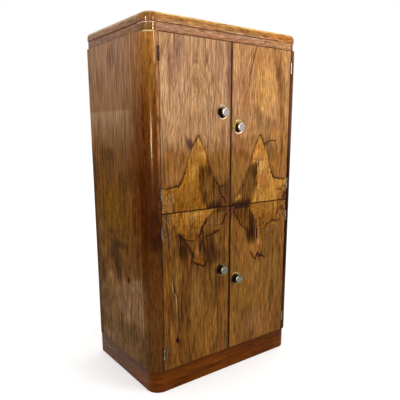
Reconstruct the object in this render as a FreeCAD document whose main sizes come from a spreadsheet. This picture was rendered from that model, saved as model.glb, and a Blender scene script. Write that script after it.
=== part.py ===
import FreeCAD, Part

import math
import os

import Sketcher

from FreeCAD import Placement, Rotation, Vector

# A tall four-door walnut cabinet with quarter-round front columns, a plain frieze, a rounded cornice and a
# recessed plinth. Two equal pairs of doors hang on butt hinges between the columns and close on ball
# catches; behind them are a fixed division board and loose-looking shelves on bearers.
# Millimetres. X runs to the viewer's right, the doors face -Y, and Z is up. The origin is at the centre of
# the underside of the box that holds the whole cabinet, knobs included.

LEFT, RIGHT = -1, 1

SIZES = (
    ("carcass_width", 850, "over the two side panels"),
    ("carcass_depth", 545, "from the door faces to the rear edges of the sides"),
    ("carcass_height", 1423, "from the plinth to the frieze"),
    ("plinth_height", 104, "floor to the underside of the doors' zone"),
    ("frieze_height", 34, "plain band above the doors"),
    ("cornice_height", 39, "rounded top moulding"),
    ("column_radius", 54, "quarter-round front corners"),
    ("column_flank", 22, "flat side of a column, between its round and the side panel"),
    ("plinth_radius", 58, "quarter-round corners of the plinth"),
    ("plinth_front_inset", 6, "plinth face behind the door faces"),
    ("plinth_side_inset", 3, "plinth face inside the carcass's side"),
    ("frieze_inset", 8, "frieze face behind the carcass face"),
    ("cornice_inset", 5, "cornice face behind the carcass face"),
    ("cornice_round", 24, "radius of the cornice's upper edge"),
    ("arris_round", 2, "eased edges of the carcass and mouldings"),
    ("side_thickness", 19, "side panels"),
    ("board_thickness", 19, "bottom, division and carcass top boards"),
    ("housing_depth", 6, "boards let into the sides"),
    ("plinth_board", 20, "thickness of the plinth boards"),
    ("frieze_board", 20, "thickness of the frieze boards and the rear rail"),
    ("block_width", 32, "square glue blocks in the plinth"),
    ("block_length", 70, "length of a glue block"),
    ("block_fit", 0.2, "gap left between a glue block and the boards"),
    ("top_panel_thickness", 12, "plywood top let into the cornice"),
    ("top_rebate", 10, "width of the rebate that carries the top panel"),
    ("top_panel_fit", 0.3, "gap round the top panel"),
    ("back_thickness", 6, "plywood back panels"),
    ("back_rebate", 10, "width of the rear rebate in the sides"),
    ("back_fit", 0.5, "gap at the edges of the back panels"),
    ("shelf_thickness", 15, "shelves"),
    ("shelf_fit", 1, "gap between a shelf's end and the side"),
    ("shelf_setback", 4, "shelf edge behind the columns"),
    ("shelf_nosing", 3, "rounded front edge of a shelf"),
    ("bearer_height", 18, "shelf bearers on the sides"),
    ("bearer_width", 15, "shelf bearers on the sides"),
    ("bearer_end_gap", 30, "bearer end short of the shelf's edge"),
    ("door_thickness", 20, "doors"),
    ("face_skin", 3, "veneered front skin of a door"),
    ("lipping_width", 8, "solid strips round a door's core"),
    ("door_side_gap", 2, "door edge to column"),
    ("door_end_gap", 2, "door edge to plinth or frieze"),
    ("door_centre_gap", 4.5, "between the doors of a pair"),
    ("door_middle_gap", 3, "between the upper and lower doors"),
    ("door_stop_gap", 1, "door's inner face to the boards behind it"),
    ("hinge_length", 50, "butt hinges"),
    ("hinge_from_end", 82, "hinge centre to the end of its door's zone"),
    ("leaf_width", 16, "from the pin to the edge of a leaf"),
    ("leaf_thickness", 1.5, "hinge leaves"),
    ("knuckle_radius", 3, "rolled knuckles"),
    ("pin_radius", 1.3, "hinge pins"),
    ("pin_fit", 0.05, "pin to knuckle"),
    ("pin_proud", 2, "pin centre in front of the door faces"),
    ("knuckle_play", 0.15, "end play of a knuckle"),
    ("recess_fit", 0.3, "round a hinge in the wood"),
    ("knuckle_relief", 4, "hollow cut in the column beside the knuckles"),
    ("knob_inset_left", 50, "knob centre to the middle, left doors"),
    ("knob_inset_right", 42, "knob centre to the middle, right doors"),
    ("knob_raise_left", 62, "knob centre above the middle of the door, left doors"),
    ("plate_radius", 32, "knob backplate"),
    ("plate_field", 2, "thickness of the plate inside its bead"),
    ("bead_width", 6, "raised bead round the plate's rim"),
    ("body_foot_radius", 19, "knob body where it meets the plate"),
    ("body_head_radius", 17, "knob body under the cap"),
    ("body_length", 17, "knob body"),
    ("cap_radius", 19.5, "bright cap"),
    ("cap_height", 9, "bright cap"),
    ("cap_round", 5, "rounded edge of the cap"),
    ("stud_radius", 2.5, "knob's fixing stud"),
    ("stud_length", 13, "stud in the door"),
    ("stud_fit", 0.2, "round the stud"),
    ("catch_from_middle", 60, "ball catch to the cabinet's middle"),
    ("catch_setback", 13, "ball catch behind the door face"),
    ("ball_radius", 3.5, "catch ball"),
    ("ball_fit", 0.1, "ball in its barrel"),
    ("ball_travel", 1.5, "how far the ball sinks"),
    ("lip_overhang", 0.3, "lip that keeps the ball in"),
    ("lip_thickness", 0.4, "lip that keeps the ball in"),
    ("barrel_wall", 0.9, "catch barrel"),
    ("barrel_length", 14, "catch barrel"),
    ("strike_length", 32, "strike plate"),
    ("strike_width", 9, "strike plate"),
    ("strike_thickness", 1, "strike plate"),
)

# Shares of a compartment's clear height at which its shelves lie.
UPPER_SHELF_SHARES = (0.34, 0.67)
LOWER_SHELF_SHARE = 0.5
# Places of the glue blocks, as shares of the clear run they stand along.
BLOCK_SHARES = (0.12, 0.5, 0.88)
# Each hinge has this many knuckles; the odd ones belong to the frame leaf.
KNUCKLES = 5
# The rounded front edge of a door, as a share of its skin's thickness.
DOOR_ARRIS_SHARE = 0.5
# The knob body's hollowed side: the radius of the hollow as a share of the body's length.
WAIST_SHARE = 1.5
# The radius of the bead's crown as a share of the bead's width.
BEAD_ROUND_SHARE = 0.6
# The radius of a knuckle that the flat of its leaf runs in behind.
LEAF_TANGENT_SHARE = 0.5


class Length:
    """A number together with the spreadsheet formula that gives it."""

    def __init__(self, value, text):
        self.value = float(value)
        self.text = text

    @staticmethod
    def of(other):
        return other if isinstance(other, Length) else Length(other, repr(other))

    def join(self, sign, other, value):
        return Length(value, f"({self.text} {sign} {other.text})")

    def __add__(self, other):
        other = Length.of(other)
        return self.join("+", other, self.value + other.value)

    def __sub__(self, other):
        other = Length.of(other)
        return self.join("-", other, self.value - other.value)

    def __mul__(self, other):
        other = Length.of(other)
        return self.join("*", other, self.value * other.value)

    def __truediv__(self, other):
        other = Length.of(other)
        return self.join("/", other, self.value / other.value)

    def __rsub__(self, other):
        return Length.of(other) - self

    def __neg__(self):
        return self * -1

    __radd__ = __add__
    __rmul__ = __mul__


def root(length):
    return Length(math.sqrt(length.value), f"sqrt({length.text})")


ZERO = Length(0, "0")

doc = FreeCAD.newDocument("cabinet")
sheet = doc.addObject("Spreadsheet::Sheet", "sizes")


class Sizes:
    """The spreadsheet's cells by name."""


size = Sizes()
for row, (alias, number, note) in enumerate(SIZES, 1):
    sheet.set(f"A{row}", note)
    sheet.set(f"B{row}", str(number))
    sheet.setAlias(f"B{row}", alias)
    setattr(size, alias, Length(number, f"sizes.{alias}"))
doc.recompute()

subparts = []


def subpart(label, thing):
    """Names a finished piece; the name is also its file's."""
    thing.Label = label
    subparts.append(thing)
    return thing


def place(thing, x, y, z):
    for axis, length in zip("xyz", (x, y, z)):
        thing.setExpression(f"Placement.Base.{axis}", Length.of(length).text)
    return thing


def box(name, x, y, z):
    """A block between pairs of coordinates, each pair given as (low, high)."""
    block = doc.addObject("Part::Box", name)
    for side, (low, high) in zip(("Length", "Width", "Height"), (x, y, z)):
        block.setExpression(side, (high - low).text)
    return place(block, x[0], y[0], z[0])


def upright_cylinder(name, radius, x, y, z):
    """A cylinder along Z between the pair of heights z."""
    rod = doc.addObject("Part::Cylinder", name)
    rod.setExpression("Radius", radius.text)
    rod.setExpression("Height", (z[1] - z[0]).text)
    return place(rod, x, y, z[0])


def group(name, members):
    holder = doc.addObject("Part::Compound", name)
    holder.Links = members
    return holder


def cut(name, base, tools):
    remains = doc.addObject("Part::Cut", name)
    remains.Base = base
    remains.Tool = tools[0] if len(tools) == 1 else group(name + "_tools", tools)
    return remains


def new_body(name, x, y, z, turn=0):
    """A body whose own origin lies at x, y, z, turned about Z by so many degrees."""
    body = doc.addObject("PartDesign::Body", name)
    body.Placement = Placement(Vector(), Rotation(Vector(0, 0, 1), turn))
    return place(body, x, y, z)


def new_sketch(body, plane, offset=None):
    sketch = body.newObject("Sketcher::SketchObject", body.Name + "_sketch")
    support = next(f for f in body.Origin.OriginFeatures if f.Role == plane)
    sketch.AttachmentSupport = (support, [""])
    sketch.MapMode = "FlatFace"
    if offset is not None:
        sketch.setExpression("AttachmentOffset.Base.z", offset.text)
    return sketch


def fix_point(sketch, geometry, end, x, y):
    """Ties one point of the sketch to its two coordinates."""
    for kind, length in (("DistanceX", x), ("DistanceY", y)):
        length = Length.of(length)
        index = sketch.addConstraint(Sketcher.Constraint(kind, -1, 1, geometry, end, length.value))
        sketch.setExpression(f"Constraints[{index}]", length.text)


def outline(sketch, corners):
    """A closed outline. Each corner is (x, y), or (x, y, radius, turn) where the edge that leaves it is an
    arc of that radius, turning left for turn 1 and right for turn -1."""
    ends = []
    points = [Vector(Length.of(c[0]).value, Length.of(c[1]).value, 0) for c in corners]
    for i, corner in enumerate(corners):
        start, stop = points[i], points[(i + 1) % len(points)]
        if len(corner) == 2:
            edge = sketch.addGeometry(Part.LineSegment(start, stop))
            ends.append((edge, 1, 2))
            continue
        radius, turn = corner[2], corner[3]
        chord = stop - start
        rise = math.sqrt(max(radius.value**2 - (chord.Length / 2) ** 2, 0))
        across = Vector(-chord.y, chord.x, 0).normalize()
        centre = (start + stop) / 2 + across * (rise * turn)
        first, last = (start, stop) if turn > 0 else (stop, start)
        angles = [math.atan2(p.y - centre.y, p.x - centre.x) for p in (first, last)]
        circle = Part.Circle(centre, Vector(0, 0, 1), radius.value)
        edge = sketch.addGeometry(Part.ArcOfCircle(circle, *angles))
        ends.append((edge, 1, 2) if turn > 0 else (edge, 2, 1))
        index = sketch.addConstraint(Sketcher.Constraint("Radius", edge, radius.value))
        sketch.setExpression(f"Constraints[{index}]", radius.text)
    for i, corner in enumerate(corners):
        before, here = ends[i - 1], ends[i]
        sketch.addConstraint(Sketcher.Constraint("Coincident", before[0], before[2], here[0], here[1]))
        fix_point(sketch, here[0], here[1], corner[0], corner[1])
    return sketch


def rectangle(sketch, x, y):
    return outline(sketch, [(x[0], y[0]), (x[1], y[0]), (x[1], y[1]), (x[0], y[1])])


def ring(sketch, *radii):
    """Circles about the sketch's origin."""
    for radius in radii:
        edge = sketch.addGeometry(Part.Circle(Vector(), Vector(0, 0, 1), radius.value))
        sketch.addConstraint(Sketcher.Constraint("Coincident", edge, 3, -1, 1))
        index = sketch.addConstraint(Sketcher.Constraint("Radius", edge, radius.value))
        sketch.setExpression(f"Constraints[{index}]", radius.text)
    return sketch


def pad(body, sketch, length, reverse=False):
    feature = body.newObject("PartDesign::Pad", body.Name + "_pad")
    feature.Profile = sketch
    feature.Reversed = reverse
    feature.setExpression("Length", length.text)
    return feature


def pocket(body, sketch, length, reverse=False):
    feature = body.newObject("PartDesign::Pocket", body.Name + "_pocket")
    feature.Profile = sketch
    feature.Reversed = reverse
    feature.setExpression("Length", length.text)
    return feature


def revolve(body, sketch, angle=360, reverse=False):
    feature = body.newObject("PartDesign::Revolution", body.Name + "_turning")
    feature.Profile = sketch
    feature.ReferenceAxis = (sketch, ["V_Axis"])
    feature.Angle = angle
    feature.Reversed = reverse
    return feature


def rounded_section(thickness, height, lower, upper, outward=1):
    """A board's section with its outer face rounded at the bottom and at the top."""
    face = outward * thickness
    return [
        (ZERO, ZERO),
        (outward * (thickness - lower), ZERO, lower, outward),
        (face, lower),
        (face, height - upper, upper, outward),
        (outward * (thickness - upper), height),
        (ZERO, height),
    ]


# Places that many pieces share.
KNOB_PROJECTION = size.plate_field + size.body_length + size.cap_height
FRONT = (KNOB_PROJECTION - size.carcass_depth) / 2
BACK = FRONT + size.carcass_depth
HALF_WIDTH = size.carcass_width / 2
HALF_OPENING = HALF_WIDTH - size.column_radius
ROUND_BACK = FRONT + size.column_radius
BEHIND_COLUMNS = ROUND_BACK + size.column_flank
INNER_SIDE = HALF_WIDTH - size.side_thickness
CARCASS_FOOT = size.plinth_height
CARCASS_HEAD = CARCASS_FOOT + size.carcass_height
MIDDLE = CARCASS_FOOT + size.carcass_height / 2
CORNICE_FOOT = CARCASS_HEAD + size.frieze_height
TOP = CORNICE_FOOT + size.cornice_height
BOARD_FRONT = FRONT + size.door_thickness + size.door_stop_gap
BOARD_BACK = BACK - size.back_thickness
HINGE_X = HALF_OPENING - size.door_side_gap / 2
HINGE_Y = FRONT - size.pin_proud
HAND = {LEFT: "left", RIGHT: "right"}


def corner_block(name, side, x, y, z, radius, flank, height, lower, upper):
    """A block over one front corner: a quarter-round about the upright line at x and y, and behind it a flat
    run of the length flank."""
    on_right = side == RIGHT
    body = new_body(name, side * x, y, z, 0 if on_right else 180)
    sketch = outline(new_sketch(body, "XZ_Plane"), rounded_section(radius, height, lower, upper))
    revolve(body, sketch, 90, reverse=on_right)
    if flank is not None:
        pad(body, sketch, flank, reverse=on_right)
    return body


def column_block(name, side, z, inset, height, lower, upper):
    """A corner block that follows a column, with its face set in."""
    radius = size.column_radius - inset
    return corner_block(
        name, side, HALF_OPENING, ROUND_BACK, z, radius, size.column_flank, height, lower, upper
    )


def front_board(name, half_length, z, inset, thickness, height, lower, upper):
    """A board across the front, between the corner blocks."""
    body = new_body(name, -half_length, FRONT + inset + thickness, z)
    sketch = new_sketch(body, "YZ_Plane")
    pad(body, outline(sketch, rounded_section(thickness, height, lower, upper, -1)), 2 * half_length)
    return body


def side_board(name, side, front, z, inset, thickness, height, lower, upper):
    """A board along one side, from the corner block to the back."""
    body = new_body(name, side * (HALF_WIDTH - inset - thickness), BACK, z)
    sketch = new_sketch(body, "XZ_Plane")
    pad(body, outline(sketch, rounded_section(thickness, height, lower, upper, side)), BACK - front)
    return body


def both(make):
    return [make(side) for side in (LEFT, RIGHT)]


def plinth():
    thick, high, edge, radius = size.plinth_board, size.plinth_height, size.arris_round, size.plinth_radius
    half = HALF_WIDTH - size.plinth_side_inset - radius
    back_of_corner = FRONT + size.plinth_front_inset + radius
    board = front_board("plinth_front", half, ZERO, size.plinth_front_inset, thick, high, edge, edge)
    subpart("plinth_front", board)

    def flank(s):
        name = f"plinth_{HAND[s]}"
        return side_board(name, s, back_of_corner, ZERO, size.plinth_side_inset, thick, high, edge, edge)

    def corner(s):
        name = f"plinth_corner_{HAND[s]}"
        return corner_block(name, s, half, back_of_corner, ZERO, radius, None, high, edge, edge)

    subpart("plinth_sides", group("plinth_sides", both(flank)))
    subpart("plinth_corners", group("plinth_corners", both(corner)))
    inner = HALF_WIDTH - size.plinth_side_inset - thick
    back = box("plinth_back", (-inner, inner), (BACK - thick, BACK), (ZERO, high))
    subpart("plinth_back", back)
    glue_blocks(inner, FRONT + size.plinth_front_inset + thick, BACK - thick, high)


def glue_blocks(inner, front, back, high):
    """Square blocks in the angle between the plinth boards and the bottom board."""
    fit, wide, long = size.block_fit, size.block_width, size.block_length
    height = (high - fit - wide, high - fit)
    blocks = []
    for share in BLOCK_SHARES:
        middle = (2 * share - 1) * HALF_OPENING
        x = (middle - long / 2, middle + long / 2)
        for name, y in (("front", (front + fit, front + fit + wide)), ("back", (back - fit - wide, back - fit))):
            blocks.append(box(f"block_{name}", x, y, height))
        middle = BEHIND_COLUMNS + wide + share * (back - BEHIND_COLUMNS - 2 * wide)
        y = (middle - long / 2, middle + long / 2)
        for side in (LEFT, RIGHT):
            ends = sorted((side * (inner - fit), side * (inner - fit - wide)), key=lambda e: e.value)
            blocks.append(box(f"block_{HAND[side]}", ends, y, height))
    subpart("plinth_glue_blocks", group("plinth_glue_blocks", blocks))


def carcass_board(name, z):
    """A board housed into both sides and notched round the two columns."""
    body = new_body(name, ZERO, ZERO, z)
    wide = INNER_SIDE + size.housing_depth
    corners = [
        (-HALF_OPENING, BOARD_FRONT),
        (HALF_OPENING, BOARD_FRONT),
        (HALF_OPENING, BEHIND_COLUMNS),
        (wide, BEHIND_COLUMNS),
        (wide, BOARD_BACK),
        (-wide, BOARD_BACK),
        (-wide, BEHIND_COLUMNS),
        (-HALF_OPENING, BEHIND_COLUMNS),
    ]
    pad(body, outline(new_sketch(body, "XY_Plane"), corners), size.board_thickness)
    return subpart(name, body)


def side_panel(side, board_heights):
    """A side panel with housings for the three boards and a rebate for the back panels."""
    name = f"{HAND[side]}_side_panel"
    edge = size.arris_round
    thick = size.side_thickness
    high = size.carcass_height
    blank = side_board(name + "_blank", side, BEHIND_COLUMNS, CARCASS_FOOT, ZERO, thick, high, edge, edge)
    depth = [side * INNER_SIDE, side * (INNER_SIDE + size.housing_depth)]
    x = sorted(depth, key=lambda e: e.value)
    tools = [
        box(name + "_housing", x, (BEHIND_COLUMNS, BOARD_BACK), (z, z + size.board_thickness))
        for z in board_heights
    ]
    depth = [side * INNER_SIDE, side * (INNER_SIDE + size.back_rebate)]
    x = sorted(depth, key=lambda e: e.value)
    tools.append(box(name + "_rebate", x, (BOARD_BACK, BACK), (CARCASS_FOOT, CARCASS_HEAD)))
    subpart(name, cut(name, blank, tools))


def carcass():
    """Sides, the three fixed boards and the two back panels."""
    thick = size.board_thickness
    heights = {
        "bottom_board": CARCASS_FOOT,
        "division_board": MIDDLE - thick / 2,
        "carcass_top_board": CARCASS_HEAD - thick,
    }
    for name, z in heights.items():
        carcass_board(name, z)
    for side in (LEFT, RIGHT):
        side_panel(side, list(heights.values()))
    wide = INNER_SIDE + size.back_rebate - size.back_fit
    for name, z in (
        ("lower_back_panel", (CARCASS_FOOT, MIDDLE - size.back_fit)),
        ("upper_back_panel", (MIDDLE, CARCASS_HEAD)),
    ):
        subpart(name, box(name, (-wide, wide), (BOARD_BACK, BACK), z))


def shelf(name, z):
    """A shelf behind the columns, with a rounded front edge."""
    wide = INNER_SIDE - size.shelf_fit
    front, nose = BEHIND_COLUMNS + size.shelf_setback, size.shelf_nosing
    depth = BOARD_BACK - size.shelf_fit - front
    body = new_body(name, -wide, BOARD_BACK - size.shelf_fit, z)
    section = rounded_section(depth, size.shelf_thickness, nose, nose, -1)
    pad(body, outline(new_sketch(body, "YZ_Plane"), section), 2 * wide)
    return body


def shelves():
    thick = size.board_thickness
    lower = (CARCASS_FOOT + thick, MIDDLE - thick / 2)
    upper = (MIDDLE + thick / 2, CARCASS_HEAD - thick)
    heights = [upper[0] + share * (upper[1] - upper[0]) for share in UPPER_SHELF_SHARES]
    pair = [shelf(f"upper_shelf_{n}", z) for n, z in enumerate(heights, 1)]
    subpart("upper_shelves", group("upper_shelves", pair))
    low = lower[0] + LOWER_SHELF_SHARE * (lower[1] - lower[0])
    subpart("lower_shelf", shelf("lower_shelf", low))
    front = BEHIND_COLUMNS + size.shelf_setback + size.bearer_end_gap
    y = (front, BOARD_BACK - size.bearer_end_gap)
    bearers = []
    for z in (*heights, low):
        for side in (LEFT, RIGHT):
            ends = (side * INNER_SIDE, side * (INNER_SIDE - size.bearer_width))
            x = sorted(ends, key=lambda e: e.value)
            bearers.append(box("bearer", x, y, (z - size.bearer_height, z)))
    subpart("shelf_bearers", group("shelf_bearers", bearers))


def frieze():
    inset, thick, high, edge = size.frieze_inset, size.frieze_board, size.frieze_height, size.arris_round
    board = front_board("frieze_front", HALF_OPENING, CARCASS_HEAD, inset, thick, high, edge, edge)
    subpart("frieze_front", board)

    def flank(s):
        name = f"frieze_{HAND[s]}"
        return side_board(name, s, BEHIND_COLUMNS, CARCASS_HEAD, inset, thick, high, edge, edge)

    def corner(s):
        return column_block(f"frieze_corner_{HAND[s]}", s, CARCASS_HEAD, inset, high, edge, edge)

    subpart("frieze_sides", group("frieze_sides", both(flank)))
    subpart("frieze_corners", group("frieze_corners", both(corner)))


def cornice():
    """The rounded top frame, rebated for the top panel, and the rail that closes it at the back."""
    inset = size.cornice_inset
    wide = size.column_radius - inset
    high, edge, bold = size.cornice_height, size.arris_round, size.cornice_round
    bed = size.top_panel_thickness
    reach = HALF_OPENING + size.top_rebate
    rebate = box(
        "top_rebate",
        (-reach, reach),
        (ROUND_BACK - size.top_rebate, BACK + bed),
        (TOP - bed, TOP + bed),
    )
    name = "cornice_front"
    blank = front_board(name + "_blank", HALF_OPENING, CORNICE_FOOT, inset, wide, high, edge, bold)
    subpart(name, cut(name, blank, [rebate]))

    def flank(s):
        name = f"cornice_{HAND[s]}"
        blank = side_board(
            name + "_blank", s, BEHIND_COLUMNS, CORNICE_FOOT, inset, wide, high, edge, bold
        )
        return cut(name, blank, [rebate])

    def corner(s):
        name = f"cornice_corner_{HAND[s]}"
        blank = column_block(name + "_blank", s, CORNICE_FOOT, inset, high, edge, bold)
        return cut(name, blank, [rebate])

    subpart("cornice_sides", group("cornice_sides", both(flank)))
    subpart("cornice_corners", group("cornice_corners", both(corner)))
    fit = size.top_panel_fit
    across, front = reach - fit, ROUND_BACK - size.top_rebate + fit
    subpart("top_panel", box("top_panel", (-across, across), (front, BACK), (TOP - bed, TOP)))
    rear_rail(TOP - bed)


def rear_rail(head):
    """One rail behind the frieze and the cornice, wider in its lower part."""
    body = new_body("rear_rail", ZERO, BACK, ZERO)
    low, high = HALF_WIDTH - size.frieze_inset - size.frieze_board, HALF_OPENING
    corners = [
        (-low, CARCASS_HEAD),
        (low, CARCASS_HEAD),
        (low, CORNICE_FOOT),
        (high, CORNICE_FOOT),
        (high, head),
        (-high, head),
        (-high, CORNICE_FOOT),
        (-low, CORNICE_FOOT),
    ]
    pad(body, outline(new_sketch(body, "XZ_Plane"), corners), size.frieze_board)
    subpart("rear_rail", body)


def door_zone(level):
    """The lowest and highest height of a door."""
    half_gap = size.door_middle_gap / 2
    if level == "lower":
        return CARCASS_FOOT + size.door_end_gap, MIDDLE - half_gap
    return MIDDLE + half_gap, CARCASS_HEAD - size.door_end_gap


def hinge_feet(level):
    """The lower ends of a door's two hinges."""
    low = CARCASS_FOOT if level == "lower" else MIDDLE
    high = low + size.carcass_height / 2
    half = size.hinge_length / 2
    return low + size.hinge_from_end - half, high - size.hinge_from_end - half


def knuckle_leaf(name, side, foot, frame):
    """One leaf of a butt hinge, with its knuckles rolled round the pin. The frame leaf lies in the column,
    the door leaf in the door's edge."""
    body = new_body(name, side * HINGE_X, HINGE_Y, foot)
    away = side if frame else -side
    near = size.door_side_gap / 2
    x = sorted((away * near, away * (near + size.leaf_thickness)), key=lambda e: e.value)
    plate = rectangle(new_sketch(body, "XY_Plane"), x, (LEAF_TANGENT_SHARE * size.knuckle_radius, size.leaf_width))
    pad(body, plate, size.hinge_length)
    tube = ring(new_sketch(body, "XY_Plane"), size.knuckle_radius, size.pin_radius + size.pin_fit)
    pad(body, tube, size.hinge_length)
    pitch = size.hinge_length / KNUCKLES
    play = size.knuckle_play
    for n in range(1 if frame else 0, KNUCKLES, 2):
        gap = new_sketch(body, "XY_Plane", n * pitch - play)
        ring(gap, size.knuckle_radius + play)
        pocket(body, gap, pitch + 2 * play, reverse=True)
    return body


def hinge_rooms(name, side, foot):
    """The wood taken out for one hinge: each leaf's recess, the knuckles' and the hollow beside them."""
    fit = size.recess_fit
    z = (foot - fit, foot + size.hinge_length + fit)
    y = (FRONT - size.leaf_width, HINGE_Y + size.leaf_width + fit)
    frame_x = (side * HALF_OPENING, side * (HALF_OPENING + size.leaf_thickness))
    edge = HALF_OPENING - size.door_side_gap
    door_x = (side * edge, side * (edge - size.leaf_thickness))
    in_order = [sorted(pair, key=lambda e: e.value) for pair in (frame_x, door_x)]
    frame_recess = box(name + "_frame_recess", in_order[0], y, z)
    door_recess = box(name + "_door_recess", in_order[1], y, z)
    room = upright_cylinder(name + "_knuckle_room", size.knuckle_radius + fit, side * HINGE_X, HINGE_Y, z)
    ends = (side * HALF_OPENING, side * (HALF_OPENING + size.knuckle_relief))
    relief_x = sorted(ends, key=lambda e: e.value)
    relief = box(name + "_relief", relief_x, (FRONT - size.leaf_width, FRONT + size.knuckle_relief), z)
    return frame_recess, door_recess, room, relief


def catch_place(side, level):
    """Where a catch's face lies, and which way along Z it looks."""
    low, high = door_zone(level)
    looks = 1 if level == "upper" else -1
    return side * size.catch_from_middle, FRONT + size.catch_setback, high if looks > 0 else low, looks


def turned_upright(name, at, looks, radii_and_depths):
    """A turning about Z. Depths run into the door from the catch's face."""
    body = new_body(name, *at)
    corners = [(radius, -looks * depth) for radius, depth in radii_and_depths]
    revolve(body, outline(new_sketch(body, "XZ_Plane"), corners))
    return body


def ball_catch(door_name, side, level):
    """A spring catch in the door's edge: a barrel with a lip, and the ball that it keeps."""
    x, y, z, looks = catch_place(side, level)
    bore = size.ball_radius + size.ball_fit
    outer = bore + size.barrel_wall
    mouth = size.ball_radius - size.lip_overhang
    floor = size.barrel_length - size.barrel_wall
    profile = [
        (mouth, ZERO),
        (outer, ZERO),
        (outer, size.barrel_length),
        (ZERO, size.barrel_length),
        (ZERO, floor),
        (bore, floor),
        (bore, size.lip_thickness),
        (mouth, size.lip_thickness),
    ]
    barrel = turned_upright(door_name + "_catch_barrel", (x, y, z), looks, profile)
    subpart(door_name + "_catch_barrel", barrel)
    under_lip = root(size.ball_radius * size.ball_radius - mouth * mouth)
    depth = size.lip_thickness + size.ball_fit + under_lip
    ball = doc.addObject("Part::Sphere", door_name + "_catch_ball")
    ball.setExpression("Radius", size.ball_radius.text)
    subpart(door_name + "_catch_ball", place(ball, x, y, z - looks * depth))
    ends = (z - looks * size.barrel_length, z + looks * size.barrel_length)
    bore_room = sorted(ends, key=lambda e: e.value)
    return upright_cylinder(door_name + "_catch_room", outer, x, y, bore_room)


def strike_plate(side, level):
    """The plate over the catch, screwed to the frieze or the plinth, with a hole for the ball."""
    x, y, z, looks = catch_place(side, level)
    seat = z + looks * size.door_end_gap
    height = sorted((seat, seat - looks * size.strike_thickness), key=lambda e: e.value)
    half_long, half_wide = size.strike_length / 2, size.strike_width / 2
    body = new_body(f"{level}_{HAND[side]}_strike", x, y, height[0])
    rectangle(new_sketch(body, "XY_Plane"), (-half_long, half_long), (-half_wide, half_wide))
    pad(body, body.Group[-1], size.strike_thickness)
    hole = ring(new_sketch(body, "XY_Plane"), size.ball_radius - size.lip_overhang)
    pocket(body, hole, size.strike_thickness, reverse=True)
    return body


def knob(door_name, side, level):
    """Backplate, dark body with its stud, and bright cap, all turned about the knob's own axis."""
    low = CARCASS_FOOT if level == "lower" else MIDDLE
    inset = size.knob_inset_left if side == LEFT else size.knob_inset_right
    z = low + size.carcass_height / 4
    if side == LEFT:
        z = z + size.knob_raise_left
    at = (side * inset, FRONT, z)
    hole = size.stud_radius + size.stud_fit
    field, bead = size.plate_field, size.bead_width
    plate = new_body(door_name + "_knob_plate", *at)
    profile = [
        (hole, ZERO),
        (hole, -field),
        (size.plate_radius - bead, -field, bead * BEAD_ROUND_SHARE, 1),
        (size.plate_radius, -field),
        (size.plate_radius, ZERO),
    ]
    revolve(plate, outline(new_sketch(plate, "XY_Plane"), profile))
    subpart(door_name + "_knob_plate", plate)

    neck = new_body(door_name + "_knob_body", *at)
    head = field + size.body_length
    profile = [
        (ZERO, size.stud_length),
        (ZERO, -head),
        (size.body_head_radius, -head, WAIST_SHARE * size.body_length, -1),
        (size.body_foot_radius, -field),
        (size.stud_radius, -field),
        (size.stud_radius, size.stud_length),
    ]
    revolve(neck, outline(new_sketch(neck, "XY_Plane"), profile))
    subpart(door_name + "_knob_body", neck)

    cap = new_body(door_name + "_knob_cap", *at)
    front, bold = head + size.cap_height, size.cap_round
    small = size.cap_height - bold
    profile = [
        (ZERO, -head),
        (ZERO, -front),
        (size.cap_radius - bold, -front, bold, 1),
        (size.cap_radius, -(front - bold)),
        (size.cap_radius, -(head + small / 2)),
        (size.cap_radius - small / 2, -head),
    ]
    revolve(cap, outline(new_sketch(cap, "XY_Plane"), profile))
    subpart(door_name + "_knob_cap", cap)
    drill = doc.addObject("Part::Cylinder", door_name + "_stud_room")
    drill.setExpression("Radius", hole.text)
    drill.setExpression("Height", (size.stud_length + size.stud_fit + size.face_skin).text)
    drill.Placement = Placement(Vector(), Rotation(Vector(1, 0, 0), -90))
    return place(drill, at[0], at[1] - size.face_skin, at[2])


def door_panel(name, x, z):
    """A door's veneered front skin, rounded at its edges, with the core behind it."""
    skin, strip = size.face_skin, size.lipping_width
    body = new_body(name + "_blank", ZERO, FRONT, ZERO)
    face = pad(body, rectangle(new_sketch(body, "XZ_Plane"), x, z), skin, reverse=True)
    doc.recompute()
    arris = body.newObject("PartDesign::Fillet", name + "_arris")
    near_front = [
        f"Edge{n}"
        for n, edge in enumerate(face.Shape.Edges, 1)
        if edge.BoundBox.YMax < skin.value / 2
    ]
    arris.Base = (face, near_front)
    arris.setExpression("Radius", (skin * DOOR_ARRIS_SHARE).text)
    core = rectangle(
        new_sketch(body, "XZ_Plane", -skin),
        (x[0] + strip, x[1] - strip),
        (z[0] + strip, z[1] - strip),
    )
    pad(body, core, size.door_thickness - skin, reverse=True)
    return body


def door_lipping(name, x, z):
    """Four solid strips behind the skin, round the core."""
    y = (FRONT + size.face_skin, FRONT + size.door_thickness)
    strip = size.lipping_width
    inner = (x[0] + strip, x[1] - strip)
    return [
        box(name + "_strip", (x[0], inner[0]), y, z),
        box(name + "_strip", (inner[1], x[1]), y, z),
        box(name + "_strip", inner, y, (z[0], z[0] + strip)),
        box(name + "_strip", inner, y, (z[1] - strip, z[1])),
    ]


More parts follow.
